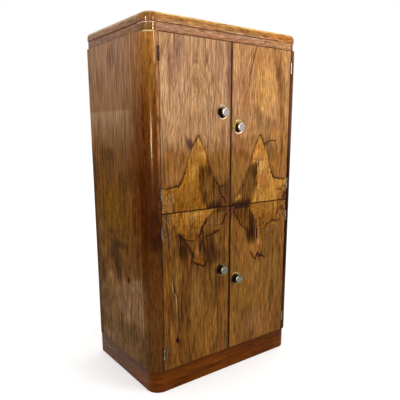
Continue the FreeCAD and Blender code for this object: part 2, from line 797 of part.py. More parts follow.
def door(side, level):
    """A door with its leaves, knob and catch. Returns the rooms that its hinges need in the column."""
    name = f"{level}_{HAND[side]}"
    z = door_zone(level)
    ends = (side * size.door_centre_gap / 2, side * (HALF_OPENING - size.door_side_gap))
    x = sorted(ends, key=lambda e: e.value)
    column_rooms, door_rooms, leaves = [], [], []
    for n, foot in enumerate(hinge_feet(level), 1):
        frame_recess, door_recess, room, relief = hinge_rooms(f"{name}_hinge_{n}", side, foot)
        column_rooms += [frame_recess, room, relief]
        door_rooms += [door_recess, room]
        leaves.append(knuckle_leaf(f"{name}_door_leaf_{n}", side, foot, frame=False))
    subpart(name + "_hinge_leaves", group(name + "_hinge_leaves", leaves))
    door_rooms.append(ball_catch(name, side, level))
    door_rooms.append(knob(name, side, level))
    panel = cut(name + "_door_panel", door_panel(name + "_door_panel", x, z), door_rooms)
    subpart(name + "_door_panel", panel)
    strips = [
        cut(f"{name}_lipping_{n}", strip, door_rooms)
        for n, strip in enumerate(door_lipping(name, x, z), 1)
    ]
    subpart(name + "_door_lipping", group(name + "_door_lipping", strips))
    return column_rooms


def column(side, rooms):
    """A quarter-round column, recessed for the hinges of its two doors."""
    name = f"{HAND[side]}_column"
    edge = size.arris_round
    blank = column_block(name + "_blank", side, CARCASS_FOOT, ZERO, size.carcass_height, edge, edge)
    subpart(name, cut(name, blank, rooms))


def frame_hinges():
    """Frame leaves and pins of all eight hinges."""
    leaves, pins = [], []
    for side in (LEFT, RIGHT):
        for level in ("lower", "upper"):
            for foot in hinge_feet(level):
                leaves.append(knuckle_leaf(f"{level}_{HAND[side]}_frame_leaf", side, foot, frame=True))
                z = (foot, foot + size.hinge_length)
                pins.append(upright_cylinder("hinge_pin", size.pin_radius, side * HINGE_X, HINGE_Y, z))
    subpart("hinge_frame_leaves", group("hinge_frame_leaves", leaves))
    subpart("hinge_pins", group("hinge_pins", pins))


def build():
    plinth()
    carcass()
    shelves()
    frieze()
    cornice()
    for side in (LEFT, RIGHT):
        rooms = door(side, "lower") + door(side, "upper")
        column(side, rooms)
    frame_hinges()
    strikes = [strike_plate(side, level) for side in (LEFT, RIGHT) for level in ("lower", "upper")]
    subpart("catch_strike_plates", group("catch_strike_plates", strikes))
    doc.recompute()


def check():
    """Stops on a failed object or a sub-part that isn't sound."""
    failed = [o.Label for o in doc.Objects if "Invalid" in o.State or "Error" in o.State]
    if failed:
        raise SystemExit(f"failed objects: {failed}")
    for thing in subparts:
        shape = thing.Shape
        if shape.isNull() or not shape.isValid() or not shape.Solids:
            raise SystemExit(f"{thing.Label} has no sound shape")


def export():
    os.makedirs("parts", exist_ok=True)
    for thing in subparts:
        thing.Shape.exportStep(f"parts/{thing.Label}.step")
    print(len(subparts), "sub-parts")


build()
check()
export()
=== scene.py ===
import math
from functools import partialmethod

import bpy
import numpy as np
from mathutils import Euler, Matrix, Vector


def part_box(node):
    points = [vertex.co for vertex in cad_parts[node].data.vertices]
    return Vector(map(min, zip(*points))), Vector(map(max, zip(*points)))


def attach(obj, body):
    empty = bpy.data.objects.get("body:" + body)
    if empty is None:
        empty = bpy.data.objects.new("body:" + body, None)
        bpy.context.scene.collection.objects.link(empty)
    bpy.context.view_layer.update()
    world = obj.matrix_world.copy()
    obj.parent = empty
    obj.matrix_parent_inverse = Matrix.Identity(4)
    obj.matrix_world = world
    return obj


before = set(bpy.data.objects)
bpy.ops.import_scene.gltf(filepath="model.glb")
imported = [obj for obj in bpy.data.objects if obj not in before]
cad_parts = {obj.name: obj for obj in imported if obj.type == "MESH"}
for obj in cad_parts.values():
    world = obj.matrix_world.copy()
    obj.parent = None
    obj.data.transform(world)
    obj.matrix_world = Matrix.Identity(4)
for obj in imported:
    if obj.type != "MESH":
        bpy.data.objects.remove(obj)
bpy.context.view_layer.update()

MM = 0.001
LEVELS = ("lower", "upper")
SIDES = {"left": -1, "right": 1}
# Places of the construction, in millimetres: the depth of the doors' face, how far out the columns begin, how
# far out the hinge pins are and in front of the doors, and the heights of the hinges' middles.
DOOR_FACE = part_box("upper_left_door_panel")[0].y / MM
COLUMN_START = 371
PIN_OUT, PIN_PROUD = 370, 2
HINGE_HEIGHTS = (186, 733.5, 897.5, 1445)


class Field:
    """A value that varies over a surface: one output in a material's nodes. Sums and products of fields make
    the nodes that work them out."""

    def __init__(self, socket):
        self.socket = socket

    def calc(self, kind, *others):
        made = node(self.socket.id_data, "Math", operation=kind)
        for socket, value in zip(made.inputs, (self, *others)):
            plug(value, socket)
        return Field(made.outputs[0])

    def __neg__(self):
        return self * -1

    def __rsub__(self, other):
        return -self + other

    __add__ = __radd__ = partialmethod(calc, "ADD")
    __sub__ = partialmethod(calc, "SUBTRACT")
    __mul__ = __rmul__ = partialmethod(calc, "MULTIPLY")
    __truediv__ = partialmethod(calc, "DIVIDE")
    __pow__ = partialmethod(calc, "POWER")
    __abs__ = partialmethod(calc, "ABSOLUTE")


def node(tree, kind, **settings):
    made = tree.nodes.new("ShaderNode" + kind)
    for key, value in settings.items():
        setattr(made, key, value)
    return made


def colour(red, green, blue):
    """A colour given as the 0 to 255 values that a screen shows."""
    shares = [c / 255 for c in (red, green, blue)]
    return tuple(s / 12.92 if s < 0.04045 else ((s + 0.055) / 1.055) ** 2.4 for s in shares) + (1.0,)


def plug(value, socket):
    """Links a field to the socket, or sets a number or a colour on it. A colour of three values is one that a
    screen shows, from 0 to 255."""
    if isinstance(value, Field):
        socket.id_data.links.new(value.socket, socket)
    elif isinstance(value, tuple) and len(value) == 3:
        socket.default_value = colour(*value)
    else:
        socket.default_value = value


def rise(value, start, end):
    """0 up to start, 1 from end, and a smooth step between them. It falls where end is below start."""
    made = node(value.socket.id_data, "MapRange", interpolation_type="SMOOTHSTEP")
    plug(value, made.inputs["Value"])
    limits = (*sorted((start, end)), *((1, 0) if start > end else (0, 1)))
    for name, number in zip(("From Min", "From Max", "To Min", "To Max"), limits):
        made.inputs[name].default_value = number
    return Field(made.outputs[0])


def hump(value, low, high, soft):
    """1 from low to high, falling to 0 over the width soft outside them."""
    return rise(value, low - soft, low) * rise(value, high + soft, high)


def length(across, along):
    """How long the way is that goes so far across and so far along."""
    return (across * across + along * along) ** 0.5


def noise(x, y, z, detail=2.0, rough=0.5, twist=0.0):
    """Smooth random values about 0.5, with one swell for each unit of x, y and z."""
    tree = next(v.socket.id_data for v in (x, y, z) if isinstance(v, Field))
    place = node(tree, "CombineXYZ")
    for value, socket in zip((x, y, z), place.inputs):
        plug(value, socket)
    made = node(tree, "TexNoise")
    tree.links.new(place.outputs[0], made.inputs["Vector"])
    for name, number in (("Scale", 1), ("Detail", detail), ("Roughness", rough), ("Distortion", twist)):
        made.inputs[name].default_value = number
    return Field(made.outputs[0])


def curve(value, points, sharp=True):
    """The height of a line through the points (value, height), level beyond its ends."""
    points = sorted(points)
    first, last = points[0][0], points[-1][0]
    heights = [height for _, height in points]
    floor, span = min(heights), max(heights) - min(heights)
    made = node(value.socket.id_data, "FloatCurve")
    line = made.mapping.curves[0]
    made.mapping.extend = "HORIZONTAL"
    places = [((x - first) / (last - first), (y - floor) / span) for x, y in points]
    for place in places[1:-1]:
        line.points.new(*place)
    for point, place in zip(line.points, places):
        point.location = place
        point.handle_type = "VECTOR" if sharp else "AUTO_CLAMPED"
    made.mapping.update()
    plug((value - first) / (last - first), made.inputs["Value"])
    return Field(made.outputs[0]) * span + floor


def mix(amount, first, second, how="MIX"):
    """Goes from the first colour to the second as amount goes from 0 to 1."""
    tree = next(v.socket.id_data for v in (amount, first, second) if isinstance(v, Field))
    made = node(tree, "Mix", data_type="RGBA", blend_type=how)
    for value, socket in zip((amount, first, second), (made.inputs[0], made.inputs[6], made.inputs[7])):
        plug(value, socket)
    return Field(made.outputs[2])


def by_height(z, stops):
    """A colour that runs through tones at given heights."""
    low, high = stops[0][0], stops[-1][0]
    places = [(height - low) / (high - low) for height, _ in stops]
    made = node(z.socket.id_data, "ValToRGB")
    elements = made.color_ramp.elements
    for place in places[1:-1]:
        elements.new(place)
    for element, place, (_, tone) in zip(elements, places, stops):
        element.position = place
        element.color = colour(*tone)
    plug((z - low) / (high - low), made.inputs[0])
    return Field(made.outputs[0])


def new_material(name):
    """An empty material and the three coordinates of its object, in millimetres."""
    material = bpy.data.materials.new(name)
    material.use_nodes = True
    tree = material.node_tree
    tree.nodes.clear()
    split = node(tree, "SeparateXYZ")
    tree.links.new(node(tree, "TexCoord").outputs["Object"], split.inputs[0])
    return material, [Field(s) / MM for s in split.outputs]


def shader(material, base, rough, relief=None, relief_depth=0.0, **levels):
    """Ends a material: its colour, roughness, relief in millimetres, and even levels by socket name."""
    tree = material.node_tree
    made = node(tree, "BsdfPrincipled")
    plug(base, made.inputs["Base Color"])
    plug(rough, made.inputs["Roughness"])
    for name, level in levels.items():
        plug(level, made.inputs[name.replace("_", " ")])
    if relief is not None:
        bump = node(tree, "Bump")
        bump.inputs["Distance"].default_value = relief_depth * MM
        plug(relief, bump.inputs["Height"])
        tree.links.new(bump.outputs[0], made.inputs["Normal"])
    tree.links.new(made.outputs[0], node(tree, "OutputMaterial").inputs[0])
    return material


def scaled(base, gains):
    """A colour with its red, green and blue multiplied by three fields."""
    tree = gains[0].socket.id_data
    rates = node(tree, "CombineXYZ")
    for gain, socket in zip(gains, rates.inputs):
        plug(gain.calc("MAXIMUM", 0.12), socket)
    return mix(1.0, base, Field(rates.outputs[0]), "MULTIPLY")


class Grain:
    """Wood grain as fields about 0.5: broad bands, streaks, fibres and a drift of hue, with dark pores from 0
    to 1. across and depth run over the fibres and along runs with them."""

    def __init__(self, across, depth, along, seed=0.0, sway=16, ripple=5, length=1.0):
        bend = noise(across / 150 + seed, depth / 150, along / 380) - 0.5
        wave = noise(across / 45, depth / 45 + seed, along / 55, 1.0) - 0.5
        self.across = across + bend * sway + wave * ripple
        self.along = along
        over = self.across
        self.broad = noise(over / 38 + seed, depth / 38, along / 700, 1.0)
        self.band = noise(over / 17, depth / 17 + seed, along / (150 * length), 1.0)
        self.streak = noise(over / 8 + seed, depth / 8, along / (60 * length), 2.0, 0.65)
        self.fibre = noise(over / 4.4, depth / 4.4 + seed, along / (34 * length), 1.0, 0.6)
        self.hue = noise(over / 24 + 3.1, depth / 24, along / (240 * length) + seed, 2.0)
        dash = noise(over / 1.1, depth / 1.1 + seed, along / 14, 1.0)
        self.pore = rise(dash, 0.58, 0.70)

    def tint(self, base, strength=1.0, drift=1.0, coarse=1.0):
        """The base colour made lighter and yellower or darker and redder by the grain."""
        level = ((self.streak - 0.5) * 1.5 + (self.band - 0.5) * 0.6) * coarse + (self.fibre - 0.5) * 2.1
        level = (level - self.pore * 0.3) * strength
        hue = (self.hue - 0.5) * drift
        red, green, blue = level * 0.9 + hue * 0.5, level - hue * 0.25, level * 1.1 - hue * 1.2
        return scaled(base, [red + 1, green + 1, blue + 1])


# The warm tint of light on French polish.
SHELLAC = (1.0, 0.72, 0.45, 1.0)


def polished(material, base, grain, gloss, shine=0.04):
    """French-polished wood: fine open pores under a polish that is a little uneven."""
    worn = noise(grain.across / 60, grain.along / 60, 0.0, 3.0) - 0.5
    rough = worn * 0.12 + (gloss + 0.1)
    relief = grain.fibre * 0.4 - grain.pore
    return shader(material, base, rough, relief, 0.06, Specular_IOR_Level=shine, Specular_Tint=SHELLAC)


# The figure of the four doors, in millimetres: distance out from the middle line, and height. Matched veneers
# share the same outlines on the left and right.
FLAME_EDGE = (
    (371, 924), (341, 917), (306, 925), (283, 927), (270, 940), (257, 962), (246, 998), (236, 1028),
    (221, 1064), (201, 1104), (180, 1134), (170, 1118), (156, 1093), (141, 1060), (126, 1022), (106, 978),
    (91, 942), (72, 914), (52, 872), (26, 840), (0, 816),
)
# How strong the dark line along the flame is, by distance out.
INK = (
    (371, 0.3), (345, 0.8), (300, 0.9), (276, 1.0), (250, 0.7), (236, 0.4), (215, 0.6), (200, 0.9),
    (180, 0.8), (156, 0.55), (140, 0.6), (120, 0.4), (98, 0.6), (80, 0.9), (50, 1.0), (20, 0.9), (0, 0.8),
)
# Height, and how far out the golden wood of the flame begins.
GOLD_START = (
    (815, 128), (832, 138), (860, 152), (900, 163), (950, 171), (985, 176), (1004, 178), (1016, 160),
    (1030, 132),
)
# How far the arched grain of the upper doors lies below its crown, for each distance out.
ARCH = (
    (0, 560), (30, 440), (60, 335), (100, 215), (140, 105), (170, 35), (190, 8), (210, 35), (240, 115),
    (280, 230), (310, 335), (340, 465), (371, 620),
)
LOWER_EDGE = (
    (371, 850), (322, 840), (318, 800), (317, 722), (306, 714), (281, 716), (266, 706), (251, 692),
    (236, 684), (214, 681), (201, 683), (184, 704), (171, 726), (151, 751), (131, 782), (100, 800), (50, 812),
    (0, 815),
)
# Height, and the middle and half the width of the tail that hangs from the golden band.
TAIL_MIDDLE = (
    (545, 172), (556, 172), (565, 176), (580, 179), (600, 187), (615, 192), (640, 194), (675, 190),
    (720, 190),
)
TAIL_HALF = (
    (535, 10), (550, 30), (575, 36), (600, 29), (615, 23), (640, 16), (675, 8), (690, 12), (720, 24),
)
# Distance out, and the height of the tail's ragged lower end.
TAIL_END = {
    "left": (
        (128, 590), (136, 572), (145, 553), (158, 556), (167, 562), (176, 570), (185, 566), (196, 575),
        (208, 584),
    ),
    "right": (
        (128, 580), (140, 562), (152, 548), (163, 534), (173, 548), (184, 562), (197, 550), (210, 546),
        (232, 534),
    ),
}
# Height, and how far out the crack in the lower left door runs.
FISSURE = (
    (108, 270), (122, 280), (145, 291), (225, 292), (245, 298), (280, 296), (350, 295), (430, 297),
    (485, 316), (540, 319),
)
# The wood of the flame at its foot, over its body and at its crown.
FLAME_TONES = {
    "left": ((134, 86, 24), (154, 102, 34), (168, 114, 52)),
    "right": ((178, 123, 53), (180, 124, 57), (184, 125, 54)),
}
# The dark lines round the golden band of the lower doors.
INK_TONE = (38, 16, 6)

# Patches in the wood: distance out and height, half the width and height, the strength and the tone, and how
# far the foot leans out where it does. These are in the upper doors' tan wood.
UPPER_PATCHES = {
    "left": (
        (286, 1450, 34, 80, 0.5, (146, 100, 82), 0.15), (170, 1330, 60, 90, 0.45, (194, 150, 100)),
        (80, 1430, 16, 80, 0.45, (154, 106, 74)), (322, 1010, 24, 110, 0.4, (146, 96, 52)),
        (288, 1470, 18, 50, 0.5, (124, 82, 66), 0.15), (196, 1362, 12, 24, 0.6, (138, 94, 70)),
        (130, 1462, 12, 52, 0.6, (134, 88, 60), 0.3), (16, 1400, 12, 130, 0.7, (132, 82, 64)),
        (345, 1310, 9, 130, 0.6, (212, 164, 112)), (40, 1130, 36, 40, 0.6, (122, 78, 58)),
        (226, 1100, 17, 26, 0.9, (72, 46, 44), -0.4), (356, 975, 12, 50, 0.7, (88, 54, 24)),
        (318, 1022, 20, 50, 0.6, (146, 92, 36)), (60, 1030, 40, 36, 0.5, (134, 88, 36)),
        (84, 940, 16, 22, 0.9, (58, 34, 14), 0.5), (40, 896, 30, 34, 0.8, (76, 44, 18), 0.4),
        (52, 912, 14, 7, 0.9, (44, 22, 8)), (66, 905, 8, 20, 0.8, (52, 28, 10), 0.8),
        (56, 985, 50, 60, 0.7, (122, 82, 32)), (20, 900, 14, 50, 0.6, (96, 60, 22)),
        (110, 1350, 18, 60, 0.4, (150, 104, 70), 0.4), (60, 1460, 22, 40, 0.4, (164, 118, 74)),
    ),
    "right": (
        (24, 1450, 18, 80, 0.5, (216, 166, 112)), (76, 1320, 26, 90, 0.6, (158, 98, 58), 0.3),
        (215, 1340, 60, 100, 0.55, (216, 162, 90)), (194, 1365, 13, 22, 0.6, (142, 92, 54)),
        (292, 1420, 26, 110, 0.75, (122, 74, 36), 0.25), (316, 1290, 18, 120, 0.7, (132, 82, 34), 0.1),
        (348, 1350, 12, 200, 0.5, (194, 140, 82)), (330, 1160, 20, 100, 0.5, (140, 90, 40)),
        (168, 1212, 22, 50, 0.7, (128, 92, 54)), (262, 1182, 44, 30, 0.6, (130, 84, 52)),
        (224, 1097, 13, 10, 0.9, (70, 40, 20), -0.5), (280, 1135, 20, 26, 0.7, (180, 112, 42)),
        (40, 1085, 34, 60, 0.5, (134, 72, 36)), (80, 1040, 40, 26, 0.4, (112, 62, 26), 0.2),
        (230, 1150, 60, 50, 0.4, (150, 104, 50)), (288, 1010, 12, 70, 0.6, (146, 96, 28)),
        (332, 1060, 9, 90, 0.8, (126, 64, 18)), (352, 980, 12, 70, 0.5, (158, 112, 66)),
        (50, 960, 46, 60, 0.6, (128, 88, 30)), (250, 1070, 20, 50, 0.6, (116, 80, 42)),
    ),
}
# Thin upright lines in it: points (height, distance out), then the width, the strength and the tone.
UPPER_LINES = {
    "left": (
        (((1235, 322), (1350, 320), (1490, 325)), 3.2, 0.7, (104, 62, 38)),
        (((1400, 122), (1450, 138), (1520, 148)), 3.4, 0.7, (104, 62, 40)),
    ),
    "right": (
        (((1358, 104), (1410, 112), (1480, 132), (1524, 147)), 4.2, 0.9, (82, 44, 26)),
    ),
}
FLAME_PATCHES = {
    "left": (
        (164, 945, 13, 70, 0.8, (80, 46, 6)), (121, 985, 14, 46, 0.7, (72, 42, 14), 0.3),
        (142, 920, 9, 44, 0.6, (116, 74, 30), 0.15), (206, 980, 18, 32, 0.3, (190, 138, 62)),
        (220, 836, 70, 16, 0.3, (116, 74, 14)), (206, 930, 30, 26, 0.5, (140, 90, 26)),
        (96, 868, 24, 30, 0.5, (120, 80, 36), 0.4), (250, 880, 40, 20, 0.5, (150, 98, 34)),
        (150, 858, 14, 30, 0.7, (70, 38, 10)),
    ),
    "right": (
        (155, 940, 13, 66, 0.8, (78, 46, 8)), (110, 930, 30, 60, 0.5, (122, 80, 34), 0.2),
        (196, 990, 20, 24, 0.6, (214, 158, 86)), (196, 928, 34, 26, 0.7, (164, 98, 44)),
        (226, 890, 24, 18, 0.5, (166, 108, 52)), (38, 845, 26, 20, 0.8, (186, 134, 52), -0.8),
        (160, 858, 24, 26, 0.4, (150, 100, 40)),
    ),
}
LOWER_PATCHES = {
    "left": (
        (344, 700, 34, 90, 0.4, (98, 64, 28)), (262, 640, 36, 70, 1.0, (54, 24, 4), -0.3),
        (160, 650, 22, 42, 0.95, (44, 22, 8), -0.1), (112, 652, 26, 44, 0.8, (62, 34, 12)),
        (92, 742, 42, 32, 0.6, (120, 84, 40)), (70, 806, 60, 12, 0.8, (58, 32, 12)),
        (98, 600, 50, 44, 0.9, (62, 28, 6)), (200, 560, 90, 60, 0.5, (86, 50, 18)),
        (19, 670, 8, 56, 0.7, (146, 94, 42)), (336, 390, 28, 90, 0.7, (94, 48, 20)),
        (276, 345, 13, 70, 0.8, (66, 36, 16)), (52, 440, 40, 46, 0.75, (82, 42, 14)),
        (90, 380, 34, 60, 0.5, (92, 56, 18)), (20, 270, 8, 80, 0.7, (124, 68, 32)),
        (18, 155, 8, 40, 0.7, (66, 48, 16)), (200, 420, 50, 110, 0.45, (138, 94, 42)),
        (340, 170, 26, 70, 0.6, (76, 46, 20)), (250, 460, 30, 100, 0.5, (86, 50, 16)),
        (150, 250, 70, 110, 0.5, (140, 94, 38)), (60, 250, 12, 90, 0.5, (88, 54, 20)),
    ),
    "right": (
        (88, 760, 50, 44, 0.8, (92, 52, 14)), (40, 640, 10, 110, 0.6, (124, 68, 34)),
        (14, 640, 10, 110, 0.6, (116, 80, 14)), (90, 560, 34, 110, 0.4, (146, 98, 38), -0.5),
        (284, 672, 36, 40, 0.5, (136, 94, 40)), (280, 590, 70, 60, 0.4, (100, 62, 16)),
        (122, 660, 19, 44, 0.9, (44, 14, 2), 0.4), (155, 660, 24, 42, 0.8, (70, 34, 6), -0.2),
        (142, 716, 22, 66, 1.0, (30, 2, 0)), (172, 655, 10, 40, 1.0, (40, 14, 2), -0.2),
        (20, 260, 14, 160, 0.6, (150, 94, 28)), (44, 260, 9, 150, 0.5, (112, 80, 36)),
        (68, 280, 7, 150, 0.5, (142, 90, 34)), (286, 330, 16, 90, 0.75, (80, 52, 20)),
        (150, 470, 60, 60, 0.4, (146, 98, 46)), (160, 145, 26, 26, 0.6, (84, 50, 18)),
        (356, 640, 12, 90, 0.4, (142, 96, 40)), (110, 350, 40, 50, 0.5, (142, 98, 36)),
        (176, 200, 70, 70, 0.5, (140, 98, 58)), (60, 420, 40, 60, 0.4, (140, 94, 34)),
        (190, 552, 20, 12, 0.8, (48, 18, 6)), (60, 780, 40, 26, 0.5, (84, 46, 14), 0.3),
    ),
}
# Patches over the golden band and its tail.
BAND_PATCHES = {
    "left": (
        (272, 702, 17, 20, 1.0, (28, 10, 6)), (80, 706, 18, 9, 0.95, (48, 26, 10)),
        (180, 797, 40, 8, 0.5, (184, 134, 66)), (186, 650, 10, 40, 0.35, (164, 112, 60), 0.1),
        (150, 700, 9, 30, 0.9, (44, 20, 6), -0.4), (128, 640, 12, 36, 0.6, (54, 26, 8), 0.2),
        (64, 650, 9, 30, 0.6, (62, 30, 12), 0.5),
    ),
    "right": (
        (152, 590, 15, 26, 0.8, (152, 98, 44), 0.2), (184, 650, 5, 50, 0.7, (190, 140, 76)),
    ),
}
CORNER_KNOT = (350, 838, 16, 24, 0.9, (70, 30, 12))
FISSURE_KNOT = (297, 234, 11, 14, 1.0, (26, 12, 6))


def patches(wood, out, high, grain, places):
    """Lays patches over the wood, their edges broken up along the grain."""
    torn = (grain.streak - 0.5) * 3.2 + (grain.band - 0.5) * 1.6
    for across, level, half_width, half_height, strength, tone, *lean in places:
        side_way = (out - across + (high - level) * sum(lean)) / half_width
        up_way = (high - level) / half_height
        reach = side_way * side_way + up_way * up_way + torn
        wood = mix(rise(reach, 2.0, 0.0) * strength, wood, tone)
    return wood


def stroke(wood, out, high, points, width, strength, tone, soft_end=12):
    """A thin line down through points (height, distance out), fading at both ends."""
    points = sorted(points)
    (low_end, start), (high_end, stop) = points[0], points[-1]
    tilt = math.hypot(1, (stop - start) / (high_end - low_end))
    away = abs(out - curve(high, points)) / tilt
    line = rise(away, width, width * 0.3) * hump(high, low_end, high_end, soft_end)
    return mix(line * strength, wood, tone)


def sideways(wood, out, high, points, width, strength, tone, soft_end=8):
    """The same for a line that runs across, through points (distance out, height)."""
    return stroke(wood, high, out, points, width, strength, tone, soft_end)


def clouded(base, cloud, curl):
    """Cloudy wood without straight grain: the base colour with soft light and dark in it."""
    level = (cloud - 0.5) * 1.5 + (curl - 0.5) * 1.3
    return scaled(base, [level * 0.8 + 1, level + 1, level * 1.4 + 1])


class Door:
    """What the wood of a door is worked out from: distance out from the middle line, depth and height, the
    first and last again with a waver, and straight grain. The right-hand doors are warmer in tone."""

    WAVER = 16

    def __init__(self, level, side_name, places):
        x, self.depth, self.high = places
        side = SIDES[side_name]
        self.side_name, self.warm, self.seed = side_name, side > 0, side * 1.7
        self.out = out = x * side
        high, seed = self.high, self.seed
        self.ragged = [noise(out / 20, high / 20, seed + shift, 3.0, 0.6) - 0.5 for shift in (0.3, 4.7)]
        self.drift = noise(out / 60, high / 60, seed + 9.1) - 0.5
        self.wavy = [place + rag * self.WAVER for place, rag in zip((out, high), self.ragged)]
        self.grain = Grain(out, self.depth, high, seed, sway=40 if level == "upper" else 60, length=1.7)

    def above(self, outline):
        """How far above an outline the wood lies, measured square to it."""
        u = self.wavy[0]
        edge = curve(u, outline) + self.ragged[1] * 12
        slope = (curve(u + 4, outline) - curve(u - 4, outline)) / 8
        return (self.high - edge) / (slope * slope + 1) ** 0.5


def upper_ground(door):
    """Tan wood with its patches and lines, brown lower down and darkest by the middle of the four doors."""
    out, high, (u, v) = door.out, door.high, door.wavy
    tan, brown = (182, 138, 100), (136, 89, 39)
    if door.warm:
        tan, brown = mix(rise(out, 60, 170), (180, 130, 88), (183, 131, 80)), (146, 97, 43)
    wood = mix(rise(v, 1330, 1190) * 0.5, tan, (164, 118, 74))
    wood = mix(rise(v + door.drift * 120, 1150, 1040) * 0.9, wood, brown)
    wood = patches(wood, u, v, door.grain, UPPER_PATCHES[door.side_name])
    for line in UPPER_LINES[door.side_name]:
        wood = stroke(wood, out, high, *line)
    if door.warm:
        line = ((192, 1088), (206, 1096), (222, 1098), (236, 1106), (280, 1108))
        wood = sideways(wood, out, v, line, 5.0, 0.8, (82, 46, 22), 18)
    centre = rise(out, 60, 10) * rise(high, 950, 830)
    return mix(centre * 0.8, wood, (76, 44, 18))


def flame_wood(door, start):
    """The wood inside the flame: cloudy gold outside start, and streaky brown heartwood towards the centre,
    darkest along the split."""
    (u, v), grain, warm = door.wavy, door.grain, door.warm
    cloud = noise(u / 26, v / 34, 5.3, 3.0, 0.62, 0.5)
    curl = noise(u / 9, v / 12, 8.1, 2.0, 0.6, 0.8)
    foot, body, crown = FLAME_TONES[door.side_name]
    gold = mix(rise(v, 850, 965), foot, body)
    gold = clouded(mix(rise(v, 1020, 1060), gold, crown), cloud, curl)
    flow = noise((u - v * 0.42) / 8, v / 80, 2.7, 2.0, 0.6)
    heart = mix(rise(flow, 0.34, 0.66), (82, 50, 12), (122, 80, 34) if warm else (110, 70, 26))
    heart = mix(rise(grain.streak, 0.44, 0.30) * 0.4, heart, (52, 28, 10))
    torn = (grain.streak - 0.5) * 40 + (grain.fibre - 0.5) * 16
    wood = mix(rise(start + torn, 12, -12) * rise(v + torn, 1040, 985), gold, heart)
    wood = patches(wood, u, v, grain, FLAME_PATCHES[door.side_name])
    if warm:
        line = ((132, 1027), (160, 1024), (182, 1016), (204, 1020))
        wood = sideways(wood, door.out, v, line, 3.4, 0.8, (124, 68, 20))
    torn = (grain.streak - 0.5) * 50 + (grain.fibre - 0.5) * 30
    base = rise(v + torn, 858, 822) * hump(u, 12 if warm else 58, 120, 22)
    return mix(base * 0.95, wood, (46, 18, 8))


def upper_corner(door, wood):
    """Burr by the outer corner: knotty on the right-hand door, and mottled behind a thin line on the left."""
    u, v = door.wavy
    corner = rise(u - (915 - v) * 0.12, 292, 304) * rise(v, 900, 880)
    if door.warm:
        burl = noise(u / 22, v / 20, 2.0, 3.0, 0.6, 0.8)
        knots = mix(rise(burl, 0.36, 0.64), (92, 46, 20), (158, 108, 50))
        return patches(mix(corner * 0.9, wood, knots), u, v, door.grain, [CORNER_KNOT])
    specks = noise(u / 13, v / 13, 3.3, 2.0, 0.5, 0.6)
    mottled = mix(rise(specks, 0.34, 0.66), (112, 70, 34), (154, 110, 62))
    line = ((816, 309), (850, 313), (872, 324), (892, 342))
    return stroke(mix(corner * 0.75, wood, mottled), u, door.high, line, 4.2, 0.8, (64, 36, 16))


def inked_edge(door, wood, distance):
    """The dark line along the flame, with a brown halo above it."""
    weight = curve(door.out, INK)
    halo = rise(distance, 22, 0) * rise(distance, -3, 0)
    wood = mix(halo * weight * 0.5, wood, (92, 54, 28))
    if door.warm:
        weight = weight * (rise(door.out, 90, 130) * 0.5 + 0.5)
    jagged = door.ragged[0] * (rise(door.out, 130, 90) * (16 if door.warm else 30) + 6)
    ink = rise(abs(distance + jagged) / (weight + 0.35), 5.0, 1.2)
    return mix(ink * weight, wood, (38, 17, 8))


def upper_figure(door):
    """The upper doors: tan wood with arched grain, above a golden flame edged by a thin dark line. Gives its
    colour, and how strongly the grain shows."""
    u, v = door.wavy
    distance = door.above(FLAME_EDGE)
    start = u - curve(v, GOLD_START) + door.drift * 20
    inside = rise(distance, 1.5, -1.5)
    wood = mix(inside, upper_ground(door), flame_wood(door, start))
    wood = inked_edge(door, upper_corner(door, wood), distance)
    return wood, 1 + inside * 0.6 - inside * rise(start, -4, 4) * 0.75


def lower_ground(door):
    """Olive-brown wood with straight grain and its patches."""
    (u, v), grain = door.wavy, door.grain
    hue = noise(grain.across / 17, door.high / 320, 3.9, 2.0, 0.6)
    olive, rust = ((120, 82, 32), (128, 80, 32)) if door.warm else ((112, 76, 28), (118, 70, 24))
    wood = mix(rise(hue, 0.42, 0.60), olive, rust)
    wood = mix(rise(grain.broad, 0.58, 0.36) * 0.5, wood, (86, 52, 18))
    return patches(wood, u, v, grain, LOWER_PATCHES[door.side_name])


def golden_band(door, wood):
    """Lays the golden band and its tail over the wood, with the dark lines round them. Gives the wood, and
    where it is golden."""
    out, high, (u, v), warm = door.out, door.high, door.wavy, door.warm
    distance = door.above(LOWER_EDGE)
    limit = rise(u, 324, 316) * (rise(out, 110, 150) if warm else rise(out, 30, 130))
    cloud = noise(u / 26, v / 40, 1.3, 3.0, 0.62, 0.4) * 1.4 - 0.2
    curl = noise(u / 8, v / 16, 4.4, 2.0, 0.6, 0.5) * 1.8 - 0.4
    gold = clouded(mix(rise(v, 740, 800), (128, 80, 24), (148, 98, 36)), cloud, curl)
    golden = rise(distance, -2, 3) * limit
    wood = mix(golden, wood, gold)
    ends = TAIL_END[door.side_name]
    torn = (noise(out / 10, high / 26, 7.7, 2.0, 0.6) - 0.5) * rise(high, 640, 590) * 30
    torn = torn + (door.grain.streak - 0.5) * 18
    offset = abs(u - curve(high, TAIL_MIDDLE)) - curve(high, TAIL_HALF) + torn
    above_end = high + door.ragged[0] * 10 - curve(out, ends)
    tail = rise(offset, 2.5, -2.5) * rise(v, 716, 700) * rise(above_end, -2, 2)
    wood = mix(tail, wood, clouded((136, 84, 34) if warm else (113, 65, 20), cloud, curl))
    shore = rise(abs(distance), 5, 1.2) * limit
    shore = shore * curve(out, ((150, 0), (200, 0.5), (216, 0.9), (290, 0.9), (318, 0.3)))
    wood = mix(shore * (0.5 if warm else 0.9), wood, INK_TONE)
    rim = rise(abs(offset + 1), 5.4, 1.6) * rise(above_end, -4, 2)
    wood = mix(rim * rise(v, 700, 660) * (rise(v, 600, 580) * 0.35 + 0.45), wood, INK_TONE)
    scribble = rise(abs(above_end), 7.5, 2.5) * hump(out, ends[0][0] + 4, ends[-1][0] - 2, 8)
    return mix(scribble * 0.95, wood, INK_TONE), golden + tail


